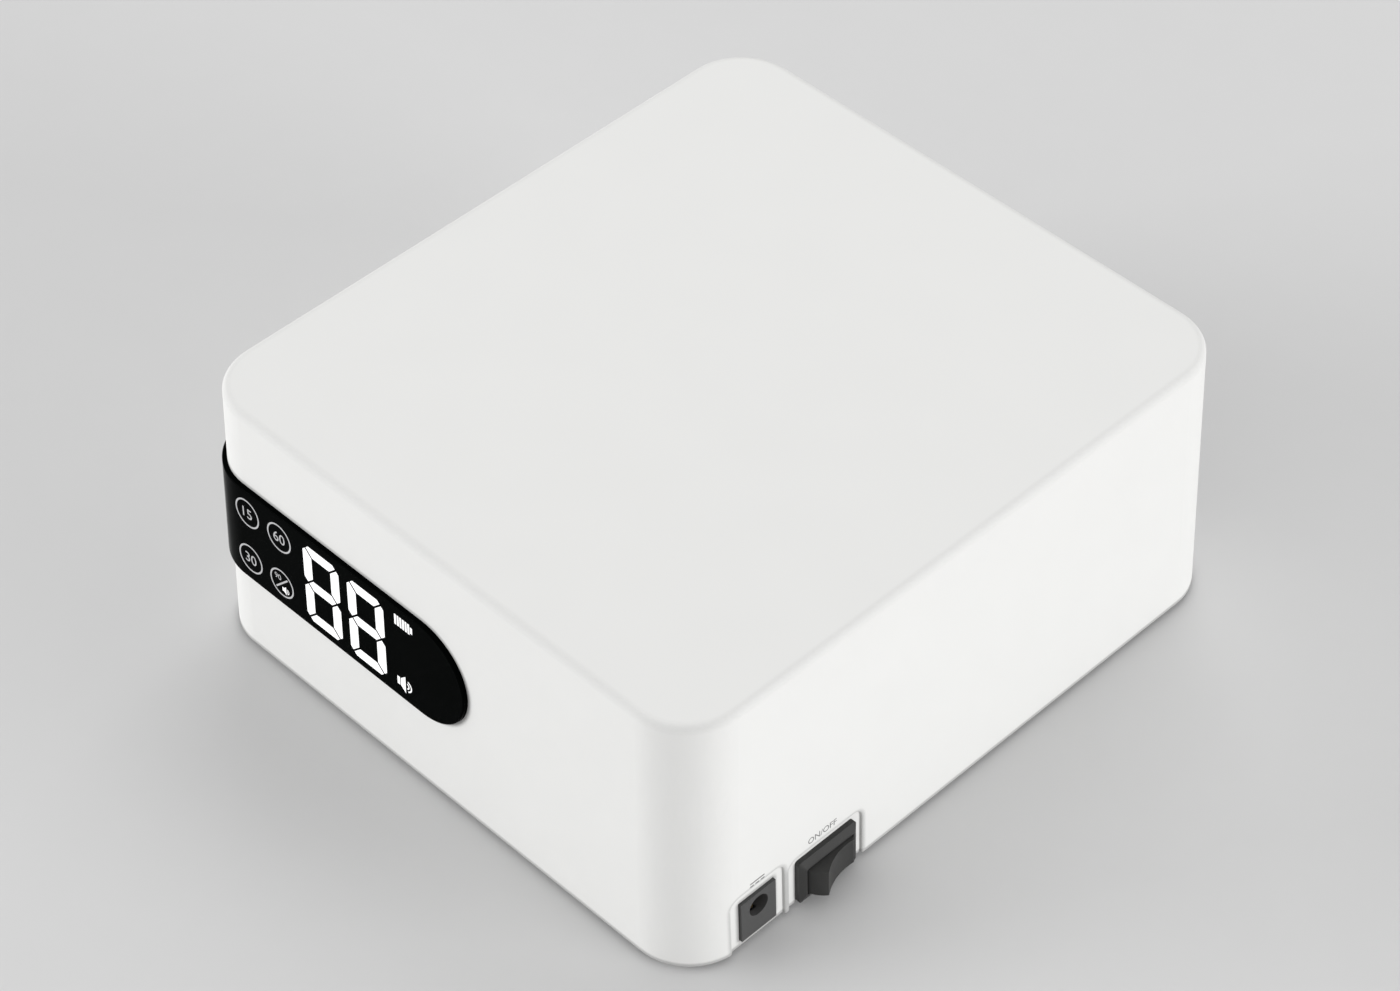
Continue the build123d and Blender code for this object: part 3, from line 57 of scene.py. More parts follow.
# Marks on the control window. Places are x and height; inside a mark they are from its middle.
window_ray_start = (30, 200)    # x and y of a point behind the window
digit_width = 14.0
digit_height = 27.2
digit_stroke = 3.3
digit_gap = 0.42                # half the gap between two bars, along the bars
digit_corner = 2.2
digit_places = {"tens": (43.85, 45.0), "units": (26.6, 45.0)}
ring_diameter = 9.4
ring_stroke = 0.5
ring_numbers = {"15": (73.2, 53.35), "60": (60.5, 53.3), "30": (73.45, 36.55)}
number_height = 3.4
mute_ring = (60.85, 36.55)
mute_number_place = (-1.5, 1.6)
mute_number_height = 1.9
mute_slash = (7.0, 0.5)
mute_slash_turn = math.radians(46)
mute_speaker_place = (1.6, -1.9)
mute_speaker_height = 2.9
battery_place = (12.4, 56.8)
battery_bars = 6
battery_bar = (0.70, 3.6)
battery_bar_pitch = 1.0
battery_first_bar = -2.6
battery_cap = (0.8, 2.2)
battery_cap_place = (3.4, 0)
speaker_place = (12.2, 34.6)
speaker_height = 6.0

# Marks on the left wall, over the rocker and over the socket. Places are y and height.
left_ray_start = (-200, 60, 40)
words_place = (54.3, 21.6)
words_height = 2.0
socket_place = (77.5, 22.2)
sign_line = (5.0, 0.4)
sign_dash = (1.3, 0.4)
sign_dash_pitch = 1.85
sign_rise = 0.5                 # of the line over the sign's middle, and of the dashes under it

# Lamps
carrier_half = 2.5
carrier_height = 1.2
cup_radius = 2.0
cup_taper = 0.68                # the cup's floor as a share of its rim
cup_floor = 0.45
chip_side = 1.1
chip_height = 0.2
dome_radius = 2.3

# Screws: the head's radius and height, the core's radius and the whole length
liner_screw = (2.3, 0.8, 0.95, 6.0)
board_screw = (1.7, 1.3, 0.8, 6.1)
head_face = 0.85                # the head's flat face as a share of its radius
head_rim = 0.3                  # how deep the head's round goes, as a share of its height
recess_reach = 0.62             # shares of the head's radius
recess_half = 0.13
recess_depth = 0.6              # share of the head's height

# Chips, cells and leads
leg_size = (0.4, 0.9, 0.25)
leg_pitch = 1.0
leg_rows_from = 8.0             # chips wider than this have legs on all four sides
chip_thickest = 2.0
cell_end_radius = 8.1
guard_board_top = 63.3          # height of the protection board under its chips
plugs_from = 82.3               # the depth past which a lead is its plug
control_bay = 0.08              # in metres: screws further back belong to the control board

# Two points nearer than this, in metres, are one, and places are sorted to this many digits
same_place = 1e-6
place_digits = 4

# Surfaces
cloud_low, cloud_high = 0.3, 0.7    # the span of a noise that shows
# Painted shade on convex edges: edge_reach is how far, in millimetres, an occlusion test inside
# the part looks for its far side
edge_reach = 1.5
edge_open = 0.72                    # the mask's value on the sharpest edges
tone_step = 0.05


def new_surface(name, colour, rough, metallic=0.0, gloss=0.5):
    """A material with its even values on the shader's own sockets."""
    surface = bpy.data.materials.new(name)
    surface.use_nodes = True
    shader = surface.node_tree.nodes["Principled BSDF"]
    shader.inputs["Base Color"].default_value = (*colour, 1)
    shader.inputs["Roughness"].default_value = rough
    shader.inputs["Metallic"].default_value = metallic
    shader.inputs["Specular IOR Level"].default_value = gloss
    return surface


def add_node(surface, kind, **values):
    node = surface.node_tree.nodes.new("ShaderNode" + kind)
    for socket, value in values.items():
        node.inputs[socket.replace("_", " ")].default_value = value
    return node


def link(surface, source, output, target, socket):
    surface.node_tree.links.new(source.outputs[output], target.inputs[socket])


def to_shader(surface, source, output, socket):
    link(surface, source, output, surface.node_tree.nodes["Principled BSDF"], socket)


def noise(surface, size, stretch=(1, 1, 1), detail=3.0):
    """Noise with features of about a size, drawn out along an axis by a stretch below 1."""
    where = add_node(surface, "TexCoord")
    mapping = add_node(surface, "Mapping", Scale=stretch)
    cloud = add_node(surface, "TexNoise", Scale=1 / (size * MM), Detail=detail)
    link(surface, where, "Object", mapping, "Vector")
    link(surface, mapping, "Vector", cloud, "Vector")
    return cloud


def tint(surface, colour, amount, size, stretch=(1, 1, 1)):
    """Lets the colour drift by a share of itself over patches of a size."""
    cloud = noise(surface, size, stretch)
    ramp = add_node(surface, "ValToRGB")
    low, high = ramp.color_ramp.elements
    low.position = cloud_low
    high.position = cloud_high
    low.color = (*(channel * (1 - amount) for channel in colour), 1)
    high.color = (*(min(1, channel * (1 + amount)) for channel in colour), 1)
    link(surface, cloud, "Fac", ramp, "Fac")
    to_shader(surface, ramp, "Color", "Base Color")
    return ramp


def wear(surface, rough, spread, size, stretch=(1, 1, 1)):
    """Lets the roughness drift by spread over patches of a size."""
    cloud = noise(surface, size, stretch)
    span = add_node(surface, "MapRange")
    span.inputs["From Min"].default_value = cloud_low
    span.inputs["From Max"].default_value = cloud_high
    span.inputs["To Min"].default_value = rough - spread
    span.inputs["To Max"].default_value = rough + spread
    link(surface, cloud, "Fac", span, "Value")
    to_shader(surface, span, "Result", "Roughness")


def relief(surface, source, output, depth):
    """A bump from a node's output, depth millimetres deep."""
    bump = add_node(surface, "Bump", Strength=1.0, Distance=depth * MM)
    link(surface, source, output, bump, "Height")
    to_shader(surface, bump, "Normal", "Normal")


def grain(surface, size, depth, stretch=(1, 1, 1)):
    """A fine uneven relief."""
    relief(surface, noise(surface, size, stretch, detail=2.0), "Fac", depth)


def paint_edge_shade(surface, tone, reach, shade):
    """Paints shade into a tone on convex edges: takes it down to a share of itself within reach
    millimetres of them, as a rounded edge looks in shade.
    """
    near = add_node(surface, "AmbientOcclusion", Distance=reach * MM)
    near.inside = True
    near.only_local = True
    near.samples = 16
    span = add_node(surface, "MapRange")
    span.inputs["From Min"].default_value = edge_open
    span.inputs["From Max"].default_value = 1.0
    span.inputs["To Min"].default_value = shade
    mix = add_node(surface, "MixRGB", Fac=1.0)
    mix.blend_type = "MULTIPLY"
    link(surface, near, "AO", span, "Value")
    link(surface, tone, "Color", mix, "Color1")
    link(surface, span, "Result", mix, "Color2")
    to_shader(surface, mix, "Color", "Base Color")


def moulded(
    name, colour, rough, grain_size, grain_depth, gloss=0.5, drift=0.015, painted_edge_shade=1.0
):
    """Moulded plastic: a spark-eroded grain, a slight drift in tone and sheen, and, if asked for,
    painted shade on its convex edges.
    """
    surface = new_surface(name, colour, rough, gloss=gloss)
    tone = tint(surface, colour, drift, 18)
    wear(surface, rough, 0.04, 9)
    grain(surface, grain_size, grain_depth)
    if painted_edge_shade < 1:
        paint_edge_shade(surface, tone, edge_reach, painted_edge_shade)
    return surface


def metal(name, colour, rough, stretch=(1, 1, 1), size=0.3, depth=0.004):
    """Bare or plated metal with a drawn or ground grain."""
    surface = new_surface(name, colour, rough, metallic=1.0)
    tint(surface, colour, 0.06, 3, stretch)
    wear(surface, rough, 0.06, size * 3, stretch)
    grain(surface, size, depth, stretch)
    return surface


def board_mask(name, mask, trace, pitch, lie=(0, 0, 0), rough=0.35):
    """A board's solder mask with traces showing as lighter lanes. Lie is the board's turn."""
    surface = new_surface(name, mask, rough)
    where = add_node(surface, "TexCoord")
    mapping = add_node(surface, "Mapping", Rotation=[math.radians(angle) for angle in lie])
    lanes = add_node(surface, "TexBrick", Scale=1 / (pitch * MM), Color1=(*mask, 1))
    lanes.inputs["Color2"].default_value = (*(channel * 0.93 for channel in mask), 1)
    lanes.inputs["Mortar"].default_value = (*trace, 1)
    lanes.inputs["Mortar Size"].default_value = 0.04
    lanes.inputs["Brick Width"].default_value = 1.7
    lanes.inputs["Row Height"].default_value = 0.22
    lanes.offset = 0.37
    lanes.squash = 0.45
    lanes.squash_frequency = 3
    link(surface, where, "Object", mapping, "Vector")
    link(surface, mapping, "Vector", lanes, "Vector")
    to_shader(surface, lanes, "Color", "Base Color")
    wear(surface, rough, 0.05, 4)
    relief(surface, lanes, "Fac", 0.01)
    return surface


def sleeve(name, colour, rough=0.28):
    """Shrink sleeve, drawn tight round a cell, with fine wrinkles along it."""
    surface = new_surface(name, colour, rough)
    tint(surface, colour, 0.08, 6, (0.15, 1, 1))
    wear(surface, rough, 0.05, 3)
    grain(surface, 1.2, 0.03, (0.2, 1, 1))
    return surface


def foam(name, colour, pore=0.5):
    """Open foam: pores painted dark with the shade inside them, between pale walls."""
    surface = new_surface(name, colour, 0.95, gloss=0.2)
    where = add_node(surface, "TexCoord")
    pores = add_node(surface, "TexVoronoi", Scale=1 / (pore * MM))
    ramp = add_node(surface, "ValToRGB")
    # Painted shade in the pores: they are drawn at 0.4 of the colour
    dark, pale = ramp.color_ramp.elements
    dark.color = (*(channel * 0.4 for channel in colour), 1)
    pale.color = (*(channel * 1.3 for channel in colour), 1)
    link(surface, where, "Object", pores, "Vector")
    link(surface, pores, "Distance", ramp, "Fac")
    to_shader(surface, ramp, "Color", "Base Color")
    relief(surface, pores, "Distance", 0.15)
    return surface


def two_tone(name, colour, other_colour, axis, place, rough=0.4):
    """Insulation or solder mask, with another colour past a place along an axis."""
    surface = new_surface(name, colour, rough, gloss=0.4)
    where = add_node(surface, "TexCoord")
    axes = add_node(surface, "SeparateXYZ")
    span = add_node(surface, "MapRange")
    span.inputs["From Min"].default_value = place * MM
    span.inputs["From Max"].default_value = (place + tone_step) * MM
    ramp = add_node(surface, "ValToRGB")
    before, past = ramp.color_ramp.elements
    before.color = (*colour, 1)
    past.color = (*other_colour, 1)
    link(surface, where, "Object", axes, "Vector")
    link(surface, axes, axis, span, "Value")
    link(surface, span, "Result", ramp, "Fac")
    to_shader(surface, ramp, "Color", "Base Color")
    wear(surface, rough, 0.06, 2)
    grain(surface, 0.6, 0.008)
    return surface


def lit(name, colour, strength):
    """A lit bar: white plastic with the lamp's glow behind it, a little uneven."""
    surface = new_surface(name, colour, 0.4)
    tint(surface, colour, 0.01, 5)
    grain(surface, 0.4, 0.003)
    shader = surface.node_tree.nodes["Principled BSDF"]
    shader.inputs["Emission Color"].default_value = (*colour, 1)
    shader.inputs["Emission Strength"].default_value = strength
    return surface


def clear(name, colour, rough):
    """Clear moulded resin."""
    surface = new_surface(name, colour, rough)
    shader = surface.node_tree.nodes["Principled BSDF"]
    shader.inputs["Transmission Weight"].default_value = 0.9
    shader.inputs["IOR"].default_value = 1.45
    tint(surface, colour, 0.02, 2)
    grain(surface, 0.5, 0.002)
    return surface


# Moulded plastics: colour, roughness, the grain's size and depth
# The shell's convex edges and pocket rims get painted shade, down to 0.6 of its tone
shell_white = moulded(
    "shell_white", (0.80, 0.80, 0.788), 0.55, 0.35, 0.003, gloss=0.12, drift=0.005,
    painted_edge_shade=0.6,
)
base_white = moulded("base_white", (0.70, 0.70, 0.69), 0.55, 0.5, 0.010)
window_black = moulded(
    "window_black", (0.0012, 0.0016, 0.0015), 0.12, 1.5, 0.0004, gloss=0.004, drift=0.1
)
bezel_grey = moulded("bezel_grey", (0.045, 0.045, 0.044), 0.45, 0.4, 0.010, gloss=0.15)
paddle_grey = moulded("paddle_grey", (0.041, 0.041, 0.040), 0.45, 0.5, 0.014, gloss=0.15)
socket_grey = moulded("socket_grey", (0.080, 0.080, 0.080), 0.5, 0.4, 0.010, gloss=0.15)
foot_rubber = moulded(
    "foot_rubber", (0.035, 0.035, 0.036), 0.85, 0.3, 0.030, gloss=0.25, drift=0.08
)
epoxy_black = moulded("epoxy_black", (0.022, 0.022, 0.023), 0.55, 0.2, 0.012)
bracket_black = moulded("bracket_black", (0.030, 0.030, 0.031), 0.5, 0.5, 0.012)
plunger_white = moulded("plunger_white", (0.55, 0.54, 0.50), 0.4, 0.3, 0.004)
carrier_white = moulded("carrier_white", (0.74, 0.74, 0.72), 0.4, 0.3, 0.003)
display_grey = moulded("display_grey", (0.28, 0.28, 0.28), 0.45, 0.4, 0.008)
sensor_dark = moulded("sensor_dark", (0.030, 0.010, 0.030), 0.12, 0.5, 0.002)
ferrite_grey = moulded("ferrite_grey", (0.060, 0.060, 0.064), 0.6, 0.25, 0.02)
ring_print = moulded("ring_print", (0.52, 0.52, 0.53), 0.5, 0.2, 0.002, gloss=0.2)
wall_print = moulded("wall_print", (0.20, 0.20, 0.20), 0.6, 0.2, 0.002, gloss=0.2)

# Metals: colour and roughness
mirror_skin = metal("mirror_skin", (0.86, 0.87, 0.88), 0.09, size=6, depth=0.006)
screw_steel = metal("screw_steel", (0.45, 0.45, 0.46), 0.32)
contact_brass = metal("contact_brass", (0.62, 0.47, 0.22), 0.28, (0.2, 1, 1))
strip_nickel = metal("strip_nickel", (0.60, 0.59, 0.56), 0.3, (1, 1, 0.1))
magnet_nickel = metal("magnet_nickel", (0.62, 0.62, 0.61), 0.18)
spring_wire = metal("spring_wire", (0.50, 0.50, 0.50), 0.3, size=0.1)

# Circuit boards: the mask, its traces and their pitch, and the board's turn
green, green_trace = (0.020, 0.120, 0.050), (0.035, 0.185, 0.08)
white, white_trace = (0.72, 0.72, 0.70), (0.67, 0.67, 0.65)
green_board = board_mask("green_board", green, green_trace, 9, (90, 0, 0))
white_board_top = board_mask("white_board_top", white, white_trace, 14)
white_board_side = board_mask("white_board_side", white, white_trace, 14, (90, 0, 90))
white_board_back = board_mask("white_board_back", white, white_trace, 14, (90, 0, 0))
guard_board = two_tone(
    "guard_board", green, (0.022, 0.022, 0.023), "Z", guard_board_top, 0.45
)

# Battery, pads, lights and wires
cell_sleeve = sleeve("cell_sleeve", (0.06, 0.20, 0.42))
foam_grey = foam("foam_grey", (0.10, 0.10, 0.10))
digit_light = lit("digit_light", (0.95, 0.95, 0.95), 0.35)
chip_glow = lit("chip_glow", (0.72, 0.66, 0.95), 0.12)
wire_red = two_tone("wire_red", (0.42, 0.025, 0.020), (0.70, 0.68, 0.62), "Y", plugs_from)
lens_clear = clear("lens_clear", (0.93, 0.93, 0.98), 0.06)

node_surfaces = {
    "housing_shell": shell_white,
    "control_panel": window_black,
    "reflector_liner": mirror_skin,
    "base_frame": base_white,
    "base_tray": base_white,
    "rubber_feet": foot_rubber,
    "case_screws": screw_steel,
    "liner_screws": screw_steel,
    "board_screws": screw_steel,
    "top_led_board": white_board_top,
    "left_led_board": white_board_side,
    "right_led_board": white_board_side,
    "back_led_board": white_board_back,
    "top_leds": lens_clear,
    "left_leds": lens_clear,
    "right_leds": lens_clear,
    "back_leds": lens_clear,
    "hand_sensors": sensor_dark,
    "frame_magnets": magnet_nickel,
    "tray_magnets": magnet_nickel,
    "control_board": green_board,
    "board_chips": epoxy_black,
    "board_power_parts": ferrite_grey,
    "buzzer": epoxy_black,
    "digit_display": display_grey,
    "touch_pads": foam_grey,
    "battery_cells": cell_sleeve,
    "cell_brackets": bracket_black,
    "cell_strips": strip_nickel,
    "protection_board": guard_board,
    "jack_body": socket_grey,
    "jack_pin": contact_brass,
    "jack_contact": contact_brass,
    "switch_body": bezel_grey,
    "rocker_paddle": paddle_grey,
    "switch_plunger": plunger_white,
    "plunger_spring": spring_wire,
    "see_saw_contact": contact_brass,
    "switch_terminals": contact_brass,
    "jack_lead": wire_red,
    "switch_lead": wire_red,
    "battery_lead": wire_red,
    "lamp_leads": wire_red,
}
for node, surface in node_surfaces.items():
    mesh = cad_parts[node].data
    mesh.materials.clear()
    mesh.materials.append(surface)


# Shapes

def finish_piece(name, bm, surface, body="housing"):
    """Turns a bmesh, already in its place, into a piece that rides on a body."""
    bmesh.ops.recalc_face_normals(bm, faces=bm.faces)
    mesh = bpy.data.meshes.new(name)
    bm.to_mesh(mesh)
    bm.free()
    mesh.materials.append(surface)
    piece = bpy.data.objects.new(name, mesh)
    bpy.context.scene.collection.objects.link(piece)
    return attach(piece, body)


def wall_plane(node, start, aim):
    """Where a line meets a CAD node's face, with right, up and out as seen from outside."""
    hit, place, out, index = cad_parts[node].ray_cast(Vector(start) * MM, aim)
    up = (UP - out * out.dot(UP)).normalized()
    axes = Matrix((up.cross(out), up, out)).transposed().to_4x4()
    return Matrix.Translation(place) @ axes


def place_on(plane, x_or_y, height, along):
    """The matrix of a spot on a wall's plane, from its height and its place along an axis."""
    origin = plane.translation
    right, up = plane.col[0].to_3d(), plane.col[1].to_3d()
    rise = (height * MM - origin.z) / up.z
    shift = (x_or_y * MM - origin[along]) / right[along]
    return Matrix.Translation(origin + up * rise + right * shift) @ plane.to_3x3().to_4x4()


def thicken(bm, sunk, proud):
    """Gives flat faces a thickness, from sunk below their plane to proud of it."""
    bmesh.ops.translate(bm, verts=bm.verts, vec=(0, 0, -sunk))
    made = bmesh.ops.extrude_face_region(bm, geom=bm.faces[:])
    top = [v for v in made["geom"] if isinstance(v, bmesh.types.BMVert)]
    bmesh.ops.translate(bm, verts=top, vec=(0, 0, sunk + proud))


def add_outline(bm, points):
    """One flat face from its corners."""
    verts = [bm.verts.new((x, y, 0)) for x, y in points]
    bm.faces.new(verts)
    return verts


def add_box(bm, middle, size):
    """A flat rectangle."""
    x, y = middle
    half_x, half_y = size[0] / 2, size[1] / 2
    return add_outline(bm, [
        (x - half_x, y - half_y), (x + half_x, y - half_y),
        (x + half_x, y + half_y), (x - half_x, y + half_y),
    ])


def add_ring(bm, radius, stroke, middle=(0, 0), start=0, turn=360, steps=48):
    """A flat ring, or an arc of one, as a strip between two radii."""
    first = math.radians(start)
    rim = [
        bm.verts.new((middle[0] + r * math.cos(first), middle[1] + r * math.sin(first), 0))
        for r in (radius - stroke, radius)
    ]
    edge = bm.edges.new(rim)
    bmesh.ops.spin(
        bm, geom=rim + [edge], cent=(*middle, 0), axis=(0, 0, 1),
        angle=math.radians(turn), steps=steps, use_merge=turn == 360,
    )


def add_text(bm, words, height, middle=(0, 0)):
    """Plain lettering of a height, about a middle."""
    curve = bpy.data.curves.new("lettering", "FONT")
    curve.body = words
    curve.resolution_u = 4
    written = bpy.data.objects.new("lettering", curve)
    bpy.context.scene.collection.objects.link(written)
    bpy.context.view_layer.update()
    mesh = bpy.data.meshes.new_from_object(written)
    bpy.data.objects.remove(written)
    bpy.data.curves.remove(curve)
    xs = [v.co.x for v in mesh.vertices]
    ys = [v.co.y for v in mesh.vertices]
    scale = height / (max(ys) - min(ys))
    centre = Vector(((max(xs) + min(xs)) / 2, (max(ys) + min(ys)) / 2, 0))
    to_middle = Matrix.Translation((*middle, 0))
    mesh.transform(to_middle @ Matrix.Scale(scale, 4) @ Matrix.Translation(-centre))
    bm.from_mesh(mesh)
    bpy.data.meshes.remove(mesh)


def finish_mark(name, bm, place, surface):
    """A printed or lit mark, drawn flat in millimetres and set on its wall."""
    thicken(bm, mark_sunk, mark_proud)
    bm.transform(place @ Matrix.Scale(MM, 4))
    return finish_piece(name, bm, surface)


# Two lit digits of seven bars each

def digit_bars(bm):
    """The seven bars of a digit about its middle, with mitred ends and cut outer corners."""
    half_x, half_y = digit_width / 2, digit_height / 2
    stroke, gap = digit_stroke, digit_gap
    cut = (digit_corner - gap) / 2
    tip = stroke * 0.4
    crossbar = [
        (half_x - cut - gap, half_y - cut), (half_x - digit_corner, half_y),
        (digit_corner - half_x, half_y), (cut + gap - half_x, half_y - cut),
        (stroke + gap - half_x, half_y - stroke), (half_x - stroke - gap, half_y - stroke),
    ]
    upright = [
        (-half_x, half_y - digit_corner), (cut - half_x, half_y - cut - gap),
        (stroke - half_x, half_y - stroke - gap), (stroke - half_x, stroke - tip + gap),
        (tip - half_x, gap), (-half_x, tip + gap),
    ]
    waist_end = half_x - tip - gap
    waist_flat = waist_end - stroke / 2
    waist = [
        (waist_end, 0), (waist_flat, stroke / 2), (-waist_flat, stroke / 2),
        (-waist_end, 0), (-waist_flat, -stroke / 2), (waist_flat, -stroke / 2),
    ]
    add_outline(bm, waist)
    for flip in (1, -1):
        add_outline(bm, [(x, flip * y) for x, y in crossbar])
        for side in (1, -1):
            add_outline(bm, [(side * x, flip * y) for x, y in upright])


window_low, window_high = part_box("control_panel")
window_middle = (window_low.z + window_high.z) / 2 / MM
window = wall_plane("control_panel", (*window_ray_start, window_middle), -BACKWARD)
for name, (x, z) in digit_places.items():
    bars = bmesh.new()
    digit_bars(bars)
    finish_mark("digit_" + name, bars, place_on(window, x, z, 0), digit_light)


# Touch marks: a ring round each number, and one with a slashed number over a speaker

def speaker(bm, size, middle=(0, 0)):
    """A loudspeaker sign: a magnet, a cone and sound arcs, size high."""
    x, y = middle
    add_box(bm, (x - size * 0.46, y), (size * 0.17, size * 0.46))
    add_outline(bm, [
        (x - size * 0.32, y - size * 0.22), (x - size * 0.02, y - size / 2),
        (x - size * 0.02, y + size / 2), (x - size * 0.32, y + size * 0.22),
    ])
    for radius in (0.2, 0.36):
        add_ring(bm, size * radius, size * 0.07, (x + size * 0.02, y), -70, 140, 12)


for number, (x, z) in ring_numbers.items():
    ring = bmesh.new()
    add_ring(ring, ring_diameter / 2, ring_stroke)
    add_text(ring, number, number_height)
    finish_mark("ring_" + number, ring, place_on(window, x, z, 0), ring_print)

mute = bmesh.new()
add_ring(mute, ring_diameter / 2, ring_stroke)
add_text(mute, "90", mute_number_height, mute_number_place)
slash = add_box(mute, (0, 0), mute_slash)
slash_turn = Matrix.Rotation(mute_slash_turn, 3, "Z")
bmesh.ops.rotate(mute, verts=slash, cent=(0, 0, 0), matrix=slash_turn)
finish_mark("ring_mute", mute, place_on(window, *mute_ring, 0), ring_print)
mute_speaker = bmesh.new()
speaker(mute_speaker, mute_speaker_height, mute_speaker_place)
finish_mark("mute_speaker", mute_speaker, place_on(window, *mute_ring, 0), digit_light)

battery_mark = bmesh.new()
for bar in range(battery_bars):
    add_box(battery_mark, (battery_first_bar + battery_bar_pitch * bar, 0), battery_bar)
add_box(battery_mark, battery_cap_place, battery_cap)
finish_mark("battery_mark", battery_mark, place_on(window, *battery_place, 0), digit_light)
speaker_mark = bmesh.new()
speaker(speaker_mark, speaker_height)
finish_mark("speaker_mark", speaker_mark, place_on(window, *speaker_place, 0), digit_light)

# On and off over the rocker, the direct-current sign over the charging socket
left_wall = wall_plane("housing_shell", left_ray_start, -LEFT)
switch_words = bmesh.new()
add_text(switch_words, "ON/OFF", words_height)
finish_mark("switch_words", switch_words, place_on(left_wall, *words_place, 1), wall_print)
socket_sign = bmesh.new()
add_box(socket_sign, (0, sign_rise), sign_line)
for dash in (-1, 0, 1):
    add_box(socket_sign, (sign_dash_pitch * dash, -sign_rise), sign_dash)
finish_mark("socket_sign", socket_sign, place_on(left_wall, *socket_place, 1), wall_print)


# Lamps: a white carrier with a cup, a chip in the cup and a clear dome over it

def loose_boxes(node):
    """The low and high corners of each solid in a CAD node, in a settled order."""
    bm = bmesh.new()
    bm.from_mesh(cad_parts[node].data)
    bmesh.ops.remove_doubles(bm, verts=bm.verts, dist=same_place)
    boxes = []
    left = set(bm.verts)
    while left:
        front = [left.pop()]
        island = []
        while front:
            vert = front.pop()
            island.append(vert.co.copy())
            for edge in vert.link_edges:
                other = edge.other_vert(vert)
                if other in left:
                    left.remove(other)
                    front.append(other)
        low = Vector(min(co[axis] for co in island) for axis in range(3))
        high = Vector(max(co[axis] for co in island) for axis in range(3))
        boxes.append((low, high))
    bm.free()
    return sorted(boxes, key=lambda box: tuple(round(value, place_digits) for value in box[0]))


def standing(box, out):
    """The matrix of a solid's foot, in the middle of the side away from the direction out."""
    low, high = box
    place = (low + high) / 2
    reach = Vector(high - low).dot(Vector(abs(value) for value in out)) / 2
    turn = Vector(out).to_track_quat("Z", "Y").to_matrix().to_4x4()
    return Matrix.Translation(place - Vector(out) * reach) @ turn


def edge_loop(verts):
    """The edges that join a set of verts."""
    inside = set(verts)
    return [edge for edge in {e for v in verts for e in v.link_edges} if set(edge.verts) <= inside]


def drawn_out(bm, verts, move):
    """Draws a loop of verts out into a new loop, whose places come from move."""
    made = bmesh.ops.extrude_edge_only(bm, edges=edge_loop(verts))
    fresh = [item for item in made["geom"] if isinstance(item, bmesh.types.BMVert)]
    for vert in fresh:
        vert.co = move(vert.co)
    return fresh


def carrier(bm):
    """A square carrier with a round cup in its top, standing on z = 0."""
    rim = bmesh.ops.create_circle(bm, segments=24, radius=cup_radius)["verts"]
    bmesh.ops.translate(bm, verts=rim, vec=(0, 0, carrier_height))

    def to_square(co):
        grow = carrier_half / max(abs(co.x), abs(co.y))
        return Vector((co.x * grow, co.y * grow, co.z))

    def to_cup_floor(co):
        return Vector((co.x * cup_taper, co.y * cup_taper, cup_floor))

    outer = drawn_out(bm, rim, to_square)
    foot = drawn_out(bm, outer, lambda co: Vector((co.x, co.y, 0)))
    cup = drawn_out(bm, rim, to_cup_floor)
    bmesh.ops.contextual_create(bm, geom=edge_loop(cup))
    bmesh.ops.contextual_create(bm, geom=edge_loop(foot))


def chip(bm):
    """A square emitter on the cup's floor."""
    verts = bmesh.ops.create_cube(bm, size=1)["verts"]
    bmesh.ops.scale(bm, verts=verts, vec=(chip_side, chip_side, chip_height))
    bmesh.ops.translate(bm, verts=verts, vec=(0, 0, cup_floor + chip_height / 2))


def dome(bm):
    """A clear half ball on the carrier's top."""
    bmesh.ops.create_uvsphere(bm, u_segments=20, v_segments=10, radius=dome_radius)
    cut = bmesh.ops.bisect_plane(
        bm, geom=bm.verts[:] + bm.edges[:] + bm.faces[:], dist=same_place,
        plane_co=(0, 0, 0), plane_no=(0, 0, 1), clear_inner=True,
    )
    rim = [item for item in cut["geom_cut"] if isinstance(item, bmesh.types.BMEdge)]
    bmesh.ops.contextual_create(bm, geom=rim)
    bmesh.ops.translate(bm, verts=bm.verts, vec=(0, 0, carrier_height))


def take_in(whole, one):
    """Adds one bmesh to another and frees it."""
    copy = bpy.data.meshes.new("copy")
    one.to_mesh(copy)
    one.free()
    whole.from_mesh(copy)
    bpy.data.meshes.remove(copy)


def repeated(draw, places):
    """One bmesh with a shape, drawn in millimetres, at each place."""
    every = bmesh.new()
    for place in places:
        one = bmesh.new()
        draw(one)
        one.transform(place @ Matrix.Scale(MM, 4))
        take_in(every, one)
    return every


lamp_sides = {"top": (0, 0, -1), "left": (1, 0, 0), "right": (-1, 0, 0), "back": (0, -1, 0)}
for side, out in lamp_sides.items():
    node = side + "_leds"
    places = [standing(box, out) for box in loose_boxes(node)]
    carriers = finish_piece(side + "_lamp_carriers", repeated(carrier, places), carrier_white)
    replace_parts(carriers, node)
    finish_piece(side + "_lamp_chips", repeated(chip, places), chip_glow)
    lenses = finish_piece(side + "_lamp_domes", repeated(dome, places), lens_clear)
    for face in lenses.data.polygons:
        face.use_smooth = len(face.vertices) <= 4


# Screws with a cross recess, and the bare ends of the battery cells

